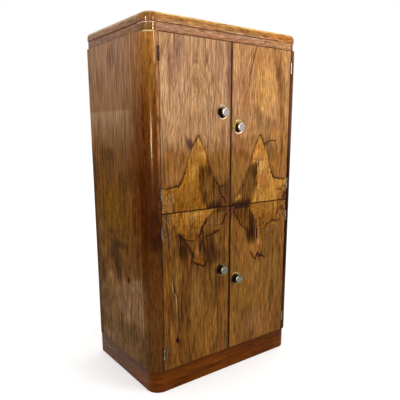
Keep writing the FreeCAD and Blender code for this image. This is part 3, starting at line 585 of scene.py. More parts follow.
def lower_right_marks(door, wood):
    """What only the lower right door has: dark lines, faint rings and a knotty burr by the outer corner."""
    u, v = door.wavy
    wood = patches(wood, u, v, door.grain, BAND_PATCHES["right"])
    line = ((694, 104), (716, 70), (755, 44), (808, 4))
    wood = stroke(wood, u, door.high, line, 5.6, 0.95, (52, 20, 8))
    line = ((508, 160), (530, 172), (548, 168), (566, 180))
    wood = stroke(wood, u, door.high, line, 4.2, 0.9, (46, 16, 6))
    line = ((226, 694), (250, 706), (274, 718), (296, 711), (330, 716))
    wood = sideways(wood, u, v, line, 5.0, 0.9, INK_TONE)
    ring = length(u - 284, v - 672)
    lines = rise(noise(ring / 6, 0.5, 0.5, 1.0), 0.5, 0.64) * rise(ring, 58, 40)
    wood = mix(lines * 0.6, wood, (84, 50, 16))
    burl = noise(u / 20, v / 20, 6.0, 3.0, 0.6, 0.8)
    knots = mix(rise(burl, 0.36, 0.64), (80, 38, 16), (148, 102, 46))
    wood = mix(rise(u, 300, 318) * rise(v, 722, 744) * 0.85, wood, knots)
    return mix(rise(v, 790, 804) * rise(door.out, 140, 110) * 0.9, wood, (36, 16, 6))


def lower_left_marks(door, wood):
    """What only the lower left door has: dark lines and blots, a mottled outer corner and a healed crack."""
    (u, v), high = door.wavy, door.high
    line = ((692, 176), (712, 168), (738, 158), (768, 137))
    wood = stroke(wood, u, high, line, 9.0, 0.95, (36, 18, 6))
    line = ((604, 207), (640, 224), (676, 250), (706, 272))
    wood = stroke(wood, u, high, line, 12.0, 0.85, (44, 20, 6))
    wood = patches(wood, u, v, door.grain, BAND_PATCHES["left"])
    specks = noise(u / 13, v / 15, 3.3, 2.0, 0.5, 0.6)
    mottled = mix(rise(specks, 0.34, 0.66), (78, 48, 20), (128, 92, 54))
    wood = mix(rise(u, 316, 328) * rise(v, 640, 720) * 0.6, wood, mottled)
    wood = sideways(wood, u, v, ((66, 712), (90, 700), (131, 693)), 4.4, 1.0, (44, 22, 8))
    wood = sideways(wood, u, v, ((24, 738), (80, 736), (130, 740)), 3.0, 0.6, (62, 36, 14))
    wood = stroke(wood, u, high, ((738, 46), (775, 26), (808, 6)), 5.6, 0.95, (44, 20, 8))
    return fissure(door, wood)


def fissure(door, wood):
    """A healed crack with a pale lip and a knot."""
    high = door.high + door.ragged[1] * 8
    gap = door.out - curve(high, FISSURE, sharp=False) + door.ragged[0] * 6
    reach = rise(high, 548, 500) * rise(high, 104, 130)
    wood = mix(rise(abs(gap + 4), 9, 2) * reach * 0.5, wood, (66, 36, 14))
    wood = mix(rise(abs(gap), 3.4, 1) * reach * 0.8, wood, (44, 22, 10))
    pale = rise(abs(gap - 5), 3.6, 1) * reach * rise(high, 240, 280)
    wood = mix(pale * 0.55, wood, (170, 122, 82))
    return patches(wood, door.out, high, door.grain, [FISSURE_KNOT])


def lower_figure(door):
    """The lower doors: a golden band under the split with a hanging tail, over olive-brown straight grain,
    its tones darker partly in the wood and partly as painted shade. Gives its colour, and how strongly the
    grain shows."""
    wood, golden = golden_band(door, lower_ground(door))
    wood = lower_right_marks(door, wood) if door.warm else lower_left_marks(door, wood)
    star = rise(door.out - (door.high - 735) * 0.30, 5, 0) * hump(door.high, 742, 806, 10)
    return mix(star * 0.75, wood, (112, 58, 38)), 1 - golden * 0.1


def door_veneer(level, side_name):
    """Figured walnut, matched across the middle line and across the split between upper and lower doors."""
    material, places = new_material(f"{level}_{side_name}_veneer")
    door = Door(level, side_name, places)
    if level == "upper":
        wood, strength = upper_figure(door)
        below_crown = door.high + curve(door.out, ARCH, sharp=False)
        arched = Grain(below_crown * 0.36, door.depth, door.high, door.seed, sway=26, ripple=7, length=1.1)
        patchy = rise(noise(door.out / 110, door.high / 160, door.seed, 1.0), 0.36, 0.6)
        wood = arched.tint(wood, strength * (patchy * 0.46 + 0.08), 0.4)
        wood = door.grain.tint(wood, strength * (1.15 if door.warm else 0.92), 0.3, 0.55)
    else:
        wood, strength = lower_figure(door)
        wood = door.grain.tint(wood, strength * 1.15, 0.6)
    return polished(material, edges(door, wood, level), door.grain, 0.3)


def edges(door, wood, level):
    """Paints shade on a door's face along the gaps, on its arrises and sawn edges and on the wood by its top
    hinge, with painted light on its outer edges near the top. Its inside is plain.
    """
    low, high = [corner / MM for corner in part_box(f"{level}_left_door_panel")]
    out, z = door.out, door.high
    from_inner = out + high.x
    rim = from_inner.calc("MINIMUM", -out - low.x)
    rim = rim.calc("MINIMUM", z - low.z).calc("MINIMUM", high.z - z)
    # Painted shade on the face: a band beside the meeting gap, and dark arrises along the gaps.
    beside_gap_shade = rise(from_inner, 9, 4) * (0.25 if level == "lower" else 0.55)
    wood = mix(beside_gap_shade, wood, (96, 56, 44))
    wood = mix(rise(rim, 2.6, 0.8) * 0.85, wood, (64, 26, 14))
    # Painted shade for the gaps, near black low down and lighter higher up, with painted light on the outer
    # edges near the top; it lies on the face at the meeting edge and on the sawn edges.
    shade = mix(rise(z, 1000, 1150), (18, 8, 6), (78, 42, 30))
    shade = mix(rise(out, 340, 360) * rise(z, 1080, 1250), shade, (168, 108, 70))
    meeting = 3.0 if level == "lower" else 1.6
    wood = mix(rise(from_inner, meeting + 0.8, meeting) * 0.95, wood, shade)
    # Painted shade on the wood beside the top hinge's knuckle.
    hinge_shade = rise(out, 363.5, 366.5) * hump(z, HINGE_HEIGHTS[-1] - 27, HINGE_HEIGHTS[-1] + 27, 3)
    wood = mix(hinge_shade * 0.85, wood, (30, 14, 8))
    behind = door.depth - DOOR_FACE
    wood = mix(rise(behind, 0.2, 0.7), wood, shade)
    plain = mix(rise(door.grain.broad, 0.3, 0.7), (112, 72, 42), (148, 102, 64))
    return mix(rise(behind, 16.6, 17.2), wood, door.grain.tint(plain, 0.7, 0.3))


# Tones of the cabinet's side by height: on the panel, beside the column, on the column, at the column's door
# side, and on the right column, where they are painted shade.
# The panel's pinkish tones from 1236 mm up are partly a painted sheen.
PANEL_TONES = (
    (104, (108, 78, 48)), (400, (112, 80, 46)), (560, (104, 67, 26)), (800, (106, 67, 10)),
    (1000, (110, 70, 28)), (1080, (120, 80, 44)), (1236, (160, 122, 90)), (1243, (142, 102, 68)),
    (1527, (160, 122, 95)),
)
FLANK_TONES = (
    (104, (92, 64, 38)), (460, (110, 74, 42)), (560, (98, 60, 24)), (760, (90, 44, 4)), (980, (94, 48, 10)),
    (1200, (116, 70, 36)), (1440, (154, 106, 67)), (1527, (162, 115, 76)),
)
COLUMN_TONES = (
    (104, (84, 50, 20)), (400, (92, 54, 20)), (560, (88, 48, 14)), (715, (64, 28, 6)), (960, (84, 40, 12)),
    (1150, (100, 54, 12)), (1270, (118, 66, 18)), (1400, (150, 95, 36)), (1527, (168, 108, 48)),
)
EDGE_TONES = (
    (104, (68, 40, 17)), (450, (86, 50, 22)), (650, (62, 32, 11)), (880, (86, 50, 25)), (1110, (147, 98, 57)),
    (1300, (160, 110, 70)), (1527, (160, 112, 76)),
)
RIGHT_SHADE_TONES = (
    (104, (56, 34, 18)), (300, (66, 39, 20)), (480, (28, 8, 2)), (800, (32, 11, 4)), (1000, (54, 22, 6)),
    (1200, (98, 60, 38)), (1440, (92, 60, 38)), (1527, (112, 78, 54)),
)
# Patches as on the doors, by depth on the side, and by the way round it on the left column.
SIDE_PATCHES = (
    (58, 560, 42, 90, 0.85, (64, 38, 18), -0.2), (10, 640, 60, 18, 0.8, (66, 40, 18)),
    (112, 690, 26, 16, 0.8, (76, 46, 16), 0.5), (-52, 486, 10, 17, 1.0, (50, 28, 14), 0.4),
    (130, 440, 30, 50, 0.9, (134, 96, 56)), (80, 810, 80, 80, 0.8, (112, 74, 8)),
    (44, 1460, 34, 40, 0.7, (120, 84, 68)), (194, 1180, 10, 40, 0.6, (112, 78, 54)),
    (20, 230, 40, 60, 0.7, (84, 58, 30)), (165, 140, 60, 26, 0.9, (128, 98, 68)),
    (-60, 230, 40, 50, 0.7, (86, 60, 34)), (100, 1050, 60, 30, 0.7, (84, 50, 18)),
    (215, 650, 26, 90, 0.7, (114, 80, 40)), (215, 470, 26, 60, 0.9, (70, 42, 20)),
    (-20, 930, 40, 50, 0.6, (80, 46, 14)), (-96, 400, 40, 60, 0.7, (128, 96, 66)),
    (190, 330, 40, 50, 0.6, (84, 56, 30)), (160, 1030, 20, 60, 0.6, (82, 50, 22)),
)
COLUMN_PATCHES = (
    (26, 700, 34, 34, 0.7, (46, 18, 5)), (34, 795, 24, 34, 0.6, (56, 22, 7)),
    (60, 635, 40, 22, 0.5, (92, 52, 16)), (14, 930, 8, 60, 0.4, (70, 32, 12)),
    (70, 900, 16, 120, 0.5, (70, 30, 10)), (96, 1210, 10, 90, 0.4, (84, 44, 22)),
    (100, 1440, 8, 80, 0.4, (130, 84, 48)), (46, 1330, 10, 90, 0.5, (150, 96, 30)),
)


def side_veneer():
    """Quiet walnut with upright grain: pinkish above, partly a painted sheen, olive-brown below, with a dark
    swirl.
    """
    material, (x, y, z) = new_material("side_veneer")
    grain = Grain(y, x, z, 4.1, sway=12, ripple=3, length=3.0)
    ragged = noise(y / 70, z / 70, 2.2, 3.0, 0.6) - 0.5
    level = z + ragged * rise(z, 1200, 1120) * 90
    near = rise(y + ragged * 60, -70, -165)
    wood = mix(near, by_height(level, PANEL_TONES), by_height(level, FLANK_TONES))
    pale = rise(z + y * 0.36 + ragged * 30, 470, 452) * rise(z, 230, 330) * rise(y, 100, 20)
    wood = mix(pale * 0.95, wood, (122, 90, 60))
    wood = patches(wood, y, z, grain, SIDE_PATCHES)
    wood = mix(rise(y + ragged * 20, 238, 270) * rise(z, 1120, 1000) * 0.6, wood, (58, 36, 18))
    mottle = noise(y / 26, z / 40, 7.3, 3.0, 0.65) - 0.5
    swell = mottle * rise(z, 1150, 900) * 0.9 + 0.5
    wood = clouded(wood, swell, swell * 0.4 + 0.3)
    return polished(material, grain.tint(wood, 1.0, 0.5), grain, 0.3, 0.006)


def way_round(out, y):
    """How far round a front corner a place is, from the door's edge."""
    return out + y - (COLUMN_START + DOOR_FACE)


def column_walnut(side_name):
    """Glossy walnut round a front corner, in tones of its own on the flank, the face and the door side, with
    painted shade at the right column's door side and a painted highlight on the left column's top arris.
    """
    side = SIDES[side_name]
    material, (x, y, z) = new_material(side_name + "_column_walnut")
    out = x * side
    around = way_round(out, y)
    grain = Grain(around, 0.0, z, 7.7 * side, sway=14)
    ragged = noise(around / 30, z / 50, side * 1.3, 3.0, 0.6) - 0.5
    level = z + ragged * 60
    face, flank = by_height(level, COLUMN_TONES), by_height(level, FLANK_TONES)
    wood = mix(rise(around + ragged * 30, 82, 112), face, flank)
    if side > 0:
        # Painted shade on the right column by its door edge.
        wood = mix(rise(around, 36, 22), wood, by_height(level, RIGHT_SHADE_TONES))
    else:
        lip = around + ragged * 8 - rise(z, 1330, 1420) * 8
        wood = mix(rise(lip, 17, 8), wood, by_height(level, EDGE_TONES))
        wood = patches(wood, around, z, grain, COLUMN_PATCHES)
    dusk = rise(z, 1080, 960) * rise(z, 430, 520) * rise(around, 80, 100)
    wood = grain.tint(mix(dusk * 0.4, wood, (52, 20, 2)), 0.95, 0.7)
    if side < 0:
        # A painted highlight along the left column's top arris, under the frieze.
        arris_highlight = rise(z, 1519, 1524) * hump(around, 30, 74, 12)
        wood = mix(arris_highlight * 0.8, wood, (250, 214, 160))
    shine = rise(around, 92, 70) * (0.05 if side < 0 else 0.01)
    return polished(material, hinge_recess_shade(wood, out, y, z), grain, 0.04, shine)


def hinge_recess_shade(wood, out, y, z):
    """Painted shade in the recesses round the hinge knuckles."""
    pin_out, pin_y = out - PIN_OUT, y - (DOOR_FACE - PIN_PROUD)
    spread = rise(length(pin_out, pin_y), 10, 4.5)
    for height in HINGE_HEIGHTS:
        wood = mix(spread * hump(z, height - 26, height + 26, 2) * 0.9, wood, (22, 10, 8))
    return wood


# The bands round the top: the axis of the grain, a seed, the strength of the grain, and tones by height. The
# pale tones at the top of the cornices are painted highlights along their rounded top edges, and the light
# tones at the top of the frieze corners and at the foot of the cornice front are painted highlights on their
# arrises.
BANDS = {
    "frieze_front": (0, 1.3, 0.8, (
        (1527, (84, 44, 26)), (1530, (170, 120, 86)), (1540, (178, 128, 94)), (1556, (174, 124, 90)),
        (1559, (148, 102, 74)), (1561, (112, 68, 46)),
    )),
    "cornice_front": (0, 2.6, 1.0, (
        (1561, (120, 74, 46)), (1563, (204, 152, 104)), (1567, (168, 117, 70)), (1577, (166, 113, 60)),
        (1586, (182, 126, 60)), (1591, (218, 170, 98)), (1600, (240, 206, 150)),
    )),
    "frieze_sides": (1, 2.9, 0.7, (
        (1527, (104, 68, 46)), (1530, (138, 98, 70)), (1556, (146, 106, 78)), (1559, (124, 86, 62)),
        (1561, (94, 60, 40)),
    )),
    "cornice_sides": (1, 4.4, 0.7, (
        (1561, (100, 64, 44)), (1565, (150, 110, 80)), (1580, (156, 114, 82)), (1590, (190, 150, 112)),
        (1600, (226, 196, 164)),
    )),
    "frieze_corners": (2, 5.2, 0.6, (
        (1527, (110, 70, 30)), (1532, (126, 82, 36)), (1540, (134, 96, 50)), (1553, (132, 90, 58)),
        (1556, (180, 132, 100)), (1561, (240, 196, 168)),
    )),
    "cornice_corners": (2, 6.7, 0.6, (
        (1561, (110, 44, 34)), (1565, (140, 92, 54)), (1580, (150, 98, 42)), (1590, (166, 112, 52)),
        (1600, (232, 200, 150)),
    )),
}
# Tones on the corners next to the front; the pale tone at the top is a painted highlight along the rounded
# top edge.
CORNER_NEAR = (
    (1527, (120, 76, 56)), (1530, (158, 112, 86)), (1558, (152, 106, 80)), (1561, (110, 64, 44)),
    (1564, (160, 110, 76)), (1588, (170, 120, 74)), (1600, (230, 196, 150)),
)
# Where the front bands turn golden towards the right: from where, to where, and the tone.
GOLDEN_ENDS = {"frieze_front": (215, 260, (190, 138, 82)), "cornice_front": (170, 330, (190, 116, 46))}
FRIEZE_KNOT = (204, 1545, 2.6, 5, 1.0, (70, 34, 24), 0.5)


def moulding(name, axis, seed, strength, stops):
    """A polished band round the top, in tones by height, some of them painted highlights, with its grain
    along an axis.
    """
    material, places = new_material(name + "_walnut")
    x, y, z = places
    corner = name.endswith("corners")
    ends = [p for n, p in enumerate(places) if n != axis]
    grain = Grain(ends[0], ends[1], places[axis], seed, sway=8, ripple=3)
    wood = by_height(z, stops)
    if corner:
        around = way_round(abs(x), y) + (grain.streak - 0.5) * 20
        wood = mix(rise(around, 18, 8), wood, by_height(z, CORNER_NEAR))
    if name in GOLDEN_ENDS:
        start, full, tone = GOLDEN_ENDS[name]
        wood = mix(rise(x, start, full) * rise(z, 1592, 1584) * 0.55, wood, tone)
    # The flat top keeps a walnut tone, without the painted highlight.
    wood = mix(rise(z, 1599.3, 1599.8), wood, (170, 124, 78))
    soft = noise(x / 60, y / 60, z / 14 + seed, 3.0, 0.6)
    wood = clouded(grain.tint(wood, strength, 0.6), soft * 0.5 + 0.25, soft * 0.3 + 0.35)
    if name == "frieze_front":
        wood = patches(wood, x, z, grain, [FRIEZE_KNOT])
    gloss, shine = (0.03, 0.09) if corner else (0.08, 0.05)
    return polished(material, wood, grain, gloss, shine)


def plinth_mahogany():
    """Reddish mahogany whose grain runs on round the corners, with a painted sheen low on its rounded corners
    and painted shade along its top.
    """
    material, (x, y, z) = new_material("plinth_mahogany")
    behind = y - DOOR_FACE
    along = x + x.calc("SIGN") * behind
    grain = Grain(z, 0.0, along, 3.3, sway=22, ripple=4, length=2.0)
    base = mix(rise(grain.broad, 0.34, 0.62), (84, 39, 4), (104, 52, 8))
    base = mix(rise(behind, 30, 70), base, (94, 58, 34))
    # Painted shade along the top, under the carcass.
    base = mix(rise(z, 60, 104) * 0.5, base, (60, 26, 10))
    foot = rise(z + (grain.streak - 0.5) * 30, 16, 0) * rise(x, 60, 300)
    base = mix(foot * 0.6, base, (54, 26, 4))
    # A painted sheen low on the rounded corners.
    corner = hump(abs(x) - behind * 0.5, 345, 400, 40)
    base = mix(corner * rise(z, 70, 20) * 0.5, base, (112, 56, 22))
    return polished(material, grain.tint(base, 0.75, 0.5), grain, 0.16, 0.035)


def plain_wood(name, axis, tones, seed, gloss=0.3):
    """Straight-grained wood whose fibres run along an axis, in the tones (dark, middle, light)."""
    material, places = new_material(name)
    along = places[axis]
    across, depth = [p for n, p in enumerate(places) if n != axis]
    grain = Grain(across, depth, along, seed)
    dark, middle, light = tones
    base = mix(rise(grain.broad, 0.3, 0.7), dark, middle)
    base = mix(rise(grain.broad, 0.55, 0.8) * 0.6, base, light)
    return polished(material, grain.tint(base), grain, gloss)


# Rows of screws in the back panels: how far the upright rows are out from the middle line, how far the level
# rows are from the middle of the division board, and how far apart the screws in a row are.
BACK_ROW_OUT, BACK_ROW_LEVELS, BACK_SCREW_PITCH = 408, (704, 5), 136
DIVISION_HEIGHT = 815.5


def back_plywood():
    """Bare plywood with upright grain, held by rows of flush screws along its edges."""
    material, (x, y, z) = new_material("back_plywood")
    grain = Grain(x, y, z, 6.6)
    wood = grain.tint(mix(rise(grain.broad, 0.3, 0.7), (150, 112, 74), (182, 142, 100)), 0.8)
    out, level = abs(x), abs(z - DIVISION_HEIGHT)
    rows = [(out - BACK_ROW_OUT, z)] + [(level - row, out) for row in BACK_ROW_LEVELS]
    heads = 0.0
    for across, along in rows:
        spread = ((along / BACK_SCREW_PITCH).calc("FRACT") - 0.5) * BACK_SCREW_PITCH
        reach = length(spread, across)
        slot = rise(abs(spread + across * 0.6), 0.6, 0.4)
        spot = rise(reach, 4.0, 3.6)
        heads = spot.calc("MAXIMUM", heads)
        wood = mix(rise(reach, 5.4, 4.0), wood, (86, 58, 34))
        wood = mix(spot, wood, mix(slot, (130, 124, 112), (30, 26, 22)))
    return shader(material, wood, 0.62 - heads * 0.25, grain.fibre, 0.1, Metallic=heads * 0.8)


def metal(name, base, worn, rough):
    """Plated metal with a little tarnish and fine scratches."""
    material, (x, y, z) = new_material(name)
    blotch = noise(x / 9, y / 9, z / 9, 3.0, 0.6)
    scratch = noise(x / 0.5, y / 6, z / 3)
    tint = mix(rise(blotch, 0.42, 0.66), base, worn)
    return shader(material, tint, blotch * 0.2 + (rough - 0.1), scratch, 0.01, Metallic=1.0)


def hinge_steel():
    """Dull steel, with painted shade and a painted highlight on the knuckles of the hinges by the top, and
    darker on the left middle hinges.
    """
    material, (x, y, z) = new_material("hinge_steel")
    blotch = noise(x / 9, y / 9, z / 9, 3.0, 0.6)
    tint = mix(rise(blotch, 0.42, 0.66), (112, 104, 94), (60, 52, 44))
    # Painted shade on the top left hinge's knuckle, nearly black with a mauve-grey edge, and a painted
    # highlight on the top right hinge's knuckle, nearly white beside a dark line.
    top = hump(z, 1400, 1490, 10)
    shaded_knuckle, bright = top * rise(x, 0, -10), top * rise(x, 0, 10)
    tint = mix(shaded_knuckle, tint, mix(hump(x, -371.2, -367.0, 0.8), (116, 84, 70), (22, 10, 6)))
    tint = mix(bright, tint, mix(hump(x, 366.0, 368.4, 0.6), (248, 242, 232), (40, 20, 12)))
    tint = mix(hump(z, 690, 940, 8) * rise(x, 0, -10) * 0.6, tint, (44, 32, 24))
    # No metal shine where the knuckle's shade is painted.
    unshaded = 1 - shaded_knuckle
    return shader(material, tint, blotch * 0.2 + 0.45, blotch, 0.05, Metallic=unshaded * 0.6,
                  Specular_IOR_Level=unshaded * 0.4 + 0.02)


def dress(material, *names):
    """Gives nodes of the construction a material."""
    for name in names:
        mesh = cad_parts[name].data
        mesh.materials.clear()
        mesh.materials.append(material)


def dress_woodwork():
    for level in LEVELS:
        for side in SIDES:
            dress(door_veneer(level, side), f"{level}_{side}_door_panel")
    dress(side_veneer(), "left_side_panel", "right_side_panel")
    for side in SIDES:
        dress(column_walnut(side), side + "_column")
    for name, band in BANDS.items():
        dress(moulding(name, *band), name)
    dress(plinth_mahogany(), "plinth_front", "plinth_sides", "plinth_corners")
    walnut = ((104, 68, 42), (134, 94, 60), (158, 116, 80))
    dress(plain_wood("top_veneer", 0, walnut, 9.2), "top_panel")
    pale = ((130, 92, 58), (158, 116, 76), (180, 140, 98))
    boards = ("plinth_back", "plinth_glue_blocks", "bottom_board", "division_board", "carcass_top_board")
    shelves = ("upper_shelves", "lower_shelf", "rear_rail")
    dress(plain_wood("carcass_hardwood", 0, pale, 2.2, 0.5), *boards, *shelves)
    dress(plain_wood("bearer_hardwood", 1, pale, 5.9, 0.5), "shelf_bearers")
    dress(back_plywood(), "lower_back_panel", "upper_back_panel")
    lipping = [f"{level}_{side}_door_lipping" for level in LEVELS for side in SIDES]
    edge = ((120, 80, 50), (150, 106, 70), (182, 138, 98))
    dress(plain_wood("door_edge_walnut", 2, edge, 1.9), *lipping)


def knob_plate(name, top, bottom, flank, field, shoulder, lean):
    """A worn plated disc in painted reflections: a bead with painted highlights above and below and painted
    shade on the left, and a dark field inside it, the painted reflection of the black knob body, with a
    brighter painted reflection on its shoulder above. The shoulder leans to the right, or to the left where
    lean is negative."""
    low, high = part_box(name + "_knob_plate")
    middle = (low + high) / 2 / MM
    material, (x, y, z) = new_material(name + "_knob_plate")
    side_way, up_way = x - middle.x, z - middle.z
    reach = length(side_way, up_way)
    blotch = noise(x / 6, y / 6, z / 6, 3.0, 0.6)
    bead = mix(rise(up_way, -10, 10), bottom, top)
    bead = mix(rise(abs(up_way) + (blotch - 0.5) * 30, 20, 8) * 0.8, bead, flank)
    # Painted shade on the left of the bead, which is also made rougher.
    painted_dark_left = rise(side_way, -10, -24)
    bead = mix(painted_dark_left * 0.7, bead, (34, 20, 9))
    above = up_way + side_way * lean + (blotch - 0.5) * 30
    inner = mix(rise(above, -2, 20), field, shoulder)
    base = mix(rise(reach + (blotch - 0.5) * 14, 24.0, 27.0), inner, bead)
    return shader(material, base, painted_dark_left * 0.35 + blotch * 0.2 + 0.15, blotch, 0.1, Metallic=1.0)


# Tones of the knob plates, all painted reflections: top, bottom, flank, field and shoulder, and how far the
# shoulder leans.
PLATE_TONES = {
    "upper_left": ((186, 164, 128), (206, 182, 152), (110, 78, 48), (16, 9, 4), (150, 132, 104), 0.5),
    "upper_right": ((196, 170, 104), (234, 206, 176), (160, 132, 76), (20, 12, 6), (178, 152, 88), -1.0),
    "lower_left": ((84, 68, 34), (104, 86, 50), (62, 44, 22), (26, 16, 8), (88, 80, 56), 0.8),
    "lower_right": ((140, 122, 64), (122, 98, 46), (64, 42, 22), (22, 8, 8), (112, 94, 50), 1.0),
}


def dress_metalwork():
    steel = hinge_steel()
    dress(steel, "hinge_frame_leaves", "hinge_pins")
    brass = metal("catch_brass", (190, 150, 84), (140, 104, 54), 0.35)
    dress(brass, "catch_strike_plates")
    ball = metal("catch_ball_steel", (190, 190, 190), (150, 150, 148), 0.15)
    black, (x, y, z) = new_material("knob_black")
    dust = noise(x / 7, y / 7, z / 7, 3.0)
    shader(black, mix(dust, (8, 5, 3), (20, 12, 8)), dust * 0.2 + 0.12, Specular_IOR_Level=0.2)
    # The lower caps are a darker copy of the upper caps' metal, painted shade.
    bright = metal("bright_cap", (176, 168, 162), (148, 140, 134), 0.25)
    shaded_caps = metal("shaded_cap", (108, 110, 98), (76, 78, 68), 0.3)
    for name, tones in PLATE_TONES.items():
        dress(knob_plate(name, *tones), name + "_knob_plate")
        dress(black, name + "_knob_body")
        dress(bright if name.startswith("upper") else shaded_caps, name + "_knob_cap")
        dress(steel, name + "_hinge_leaves")
        dress(brass, name + "_catch_barrel")
        dress(ball, name + "_catch_ball")


# Wood screws with slotted heads: a head's radius, how high it is domed and how deep it goes into the metal,
# and half the width and the depth of its slot.
HEAD_RADIUS, HEAD_DOME, HEAD_SUNK = 2.6, 0.35, 0.5
SLOT_HALF, SLOT_DEPTH = 0.35, 0.28
HEAD_STEPS = 9
# The screws of a hinge leaf by their height from its middle and their depth, and how far out the leaves lie.
LEAF_SCREWS = ((-17, -251), (0, -249), (17, -251))
LEAF_FACES = {"frame": COLUMN_START, "door": 369}
# The strike plates: how far out they are, how far their screws are from their middle, depth and heights.
STRIKE_OUT, STRIKE_SPREAD, STRIKE_Y = 60, 11.5, -245.5
STRIKE_FACES = {"lower": 105, "upper": 1526}


def screw_head(at, looks, turn, size):
    """The vertices and faces of one slotted head that faces along looks: a domed grid over its round outline,
    lower along the slot, and closed by a flat underside in the metal."""
    looks = np.array(looks, float)
    side_way = np.cross((0, 0, 1), looks) if looks[2] == 0 else np.array((1.0, 0, 0))
    up_way = np.cross(looks, side_way)
    slot = SLOT_HALF / HEAD_RADIUS
    shares = (-0.97, -0.82, -0.6, -0.35, -slot, -slot, slot, slot, 0.35, 0.6, 0.82, 0.97)
    across = np.repeat(np.array(shares)[:, None], HEAD_STEPS, 1)
    along = np.linspace(-1, 1, HEAD_STEPS)[None, :] * np.sqrt(1 - across ** 2)
    dome = HEAD_DOME * (1 - 0.8 * (across ** 2 + along ** 2))
    dome[5:7] -= SLOT_DEPTH
    radius = HEAD_RADIUS * size
    x = (across * math.cos(turn) - along * math.sin(turn)) * radius
    y = (across * math.sin(turn) + along * math.cos(turn)) * radius
    flat = np.array(at) + x[..., None] * side_way + y[..., None] * up_way
    layers = [flat + level[..., None] * looks for level in (dome, np.full_like(dome, -HEAD_SUNK))]
    points = np.concatenate([layer.reshape(-1, 3) for layer in layers])
    wide, long = across.shape
    under = wide * long
    faces = []
    for i in range(wide - 1):
        for j in range(long - 1):
            corner = i * long + j
            quad = (corner, corner + long, corner + long + 1, corner + 1)
            faces += [quad, tuple(n + under for n in reversed(quad))]
    grid = np.arange(under).reshape(wide, long)
    rim = np.concatenate([grid[:, 0], grid[-1, 1:], grid[-2::-1, -1], grid[0, -2:0:-1]]).tolist()
    faces += [(second, first, first + under, second + under) for first, second in zip(rim, rim[1:] + rim[:1])]
    return points, faces


def add_screws(name, body, material, heads):
    """One piece of several screw heads, which rides on a body. Each slot is turned further than the last."""
    points, faces = [], []
    for number, (at, looks, size) in enumerate(heads):
        more, shapes = screw_head(at, looks, 0.7 + number * 1.9, size)
        faces += [tuple(n + len(points) for n in face) for face in shapes]
        points += [tuple(p * MM) for p in more]
    mesh = bpy.data.meshes.new(name)
    mesh.from_pydata(points, [], faces)
    mesh.materials.append(material)
    piece = bpy.data.objects.new(name, mesh)
    bpy.context.scene.collection.objects.link(piece)
    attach(piece, body)


def leaf_heads(side, heights, leaf):
    """Where the screws of a side's hinge leaves go. The frame's face the door, and the door's the frame."""
    looks = -side if leaf == "frame" else side
    return [((side * LEAF_FACES[leaf], y, height + up), (looks, 0, 0), 1.0)
            for height in heights for up, y in LEAF_SCREWS]


def add_all_screws():
    steel, brass = bpy.data.materials["hinge_steel"], bpy.data.materials["catch_brass"]
    frame_heads = [head for side in SIDES.values() for head in leaf_heads(side, HINGE_HEIGHTS, "frame")]
    add_screws("frame_leaf_screws", "cabinet", steel, frame_heads)
    for level, heights in (("lower", HINGE_HEIGHTS[:2]), ("upper", HINGE_HEIGHTS[2:])):
        for side_name, side in SIDES.items():
            door = f"{level}_{side_name}_door"
            add_screws(door + "_leaf_screws", door, steel, leaf_heads(side, heights, "door"))
    strike_heads = []
    for level, looks in (("lower", 1), ("upper", -1)):
        for side in SIDES.values():
            for spread in (-STRIKE_SPREAD, STRIKE_SPREAD):
                at = (side * STRIKE_OUT + spread, STRIKE_Y, STRIKE_FACES[level])
                strike_heads.append((at, (0, 0, looks), 0.7))
    add_screws("strike_plate_screws", "cabinet", brass, strike_heads)


# The camera, fitted to the photograph's edges: its place in metres, and its turns in degrees.
CAMERA_PLACE = (-1.3291, -1.8178, 1.1473)
CAMERA_AZIMUTH, CAMERA_PITCH, CAMERA_ROLL = 36.495, 12.06, -0.105
CAMERA_LENS, CAMERA_SHIFT = 40.417, (0.0014, 0.0706)


def add_camera():
    view = bpy.data.cameras.new("camera")
    view.lens = CAMERA_LENS
    view.shift_x, view.shift_y = CAMERA_SHIFT
    camera = bpy.data.objects.new("camera", view)
    camera.location = CAMERA_PLACE
    turns = (math.radians(90 - CAMERA_PITCH), 0, math.radians(-CAMERA_AZIMUTH))
    roll = Euler((0, 0, math.radians(CAMERA_ROLL))).to_matrix()
    camera.rotation_euler = (Euler(turns).to_matrix() @ roll).to_euler()
    bpy.context.scene.collection.objects.link(camera)
    bpy.context.scene.camera = camera


def in_sight(tree):
    """1 for what the camera sees, also in a reflection or through glass, and 0 for light on the way to a
    surface."""
    path = node(tree, "LightPath")
    seen = [Field(path.outputs[n]) for n in ("Is Camera Ray", "Is Glossy Ray", "Is Transmission Ray")]
    return seen[0].calc("MAXIMUM", seen[1]).calc("MAXIMUM", seen[2])


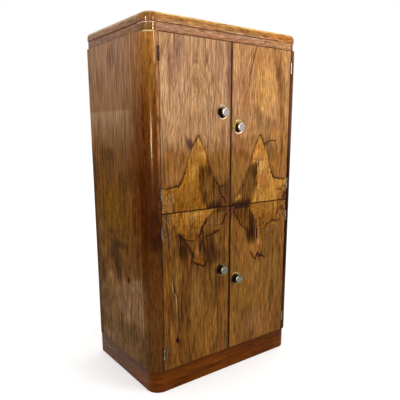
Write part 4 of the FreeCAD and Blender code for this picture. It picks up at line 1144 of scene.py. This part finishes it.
def add_floor():
    """A pale floor that reaches past the view on every side."""
    reach = 14.0
    mesh = bpy.data.meshes.new("floor")
    corners = [(-reach, -reach, 0), (reach, -reach, 0), (reach, reach, 0), (-reach, reach, 0)]
    mesh.from_pydata(corners, [], [(0, 1, 2, 3)])
    floor = bpy.data.objects.new("floor", mesh)
    bpy.context.scene.collection.objects.link(floor)
    material, _ = new_material("floor_white")
    lift = in_sight(material.node_tree) * 0.3
    shader(material, (0.9, 0.9, 0.9, 1), 0.9, Emission_Color=(1, 1, 1, 1), Emission_Strength=lift)
    mesh.materials.append(material)


def add_world():
    """White to the camera and in reflections, and a plain light that is a little stronger from above."""
    world = bpy.data.worlds.new("studio")
    world.use_nodes = True
    tree = world.node_tree
    tree.nodes.clear()
    split = node(tree, "SeparateXYZ")
    tree.links.new(node(tree, "TexCoord").outputs["Generated"], split.inputs[0])
    light = rise(Field(split.outputs["Z"]), -0.4, 1.0) * 0.45 + 0.54
    white = in_sight(tree)
    strength = white + (1 - white) * light
    back = node(tree, "Background")
    back.inputs["Color"].default_value = (1, 1, 1, 1)
    plug(strength, back.inputs["Strength"])
    tree.links.new(back.outputs[0], node(tree, "OutputWorld").inputs[0])
    bpy.context.scene.world = world


def add_lamp(name, place, aim, size, power):
    """A soft rectangular lamp that points at aim."""
    lamp = bpy.data.lights.new(name, "AREA")
    lamp.shape = "RECTANGLE"
    lamp.size, lamp.size_y = size
    lamp.energy = power
    made = bpy.data.objects.new(name, lamp)
    made.location = place
    made.rotation_euler = (Vector(aim) - Vector(place)).to_track_quat("-Z", "Y").to_euler()
    bpy.context.scene.collection.objects.link(made)
    return made


def add_glint(name, place, aim, size, power):
    """A small warm lamp that shows only as a glint in polish and metal."""
    made = add_lamp(name, place, aim, size, power)
    made.visible_diffuse = False
    made.data.color = (1.0, 0.85, 0.68)


def add_lights():
    add_lamp("key", (1.6, -3.2, 2.9), (0, 0, 1.1), (1.6, 1.6), 47)
    add_glint("glint_left", (-2.47, -2.42, 1.08), (-0.4, -0.25, 1.1), (0.34, 0.36), 170)
    add_glint("glint_front", (-0.66, -3.44, 2.14), (-0.4, -0.25, 1.5), (0.3, 0.30), 120)
    add_glint("glint_side", (-3.28, -1.08, 2.27), (-0.4, -0.25, 1.58), (0.3, 0.15), 50)


bpy.context.scene.view_settings.view_transform = "Standard"
dress_woodwork()
dress_metalwork()
add_all_screws()
add_camera()
add_floor()
add_world()
add_lights()
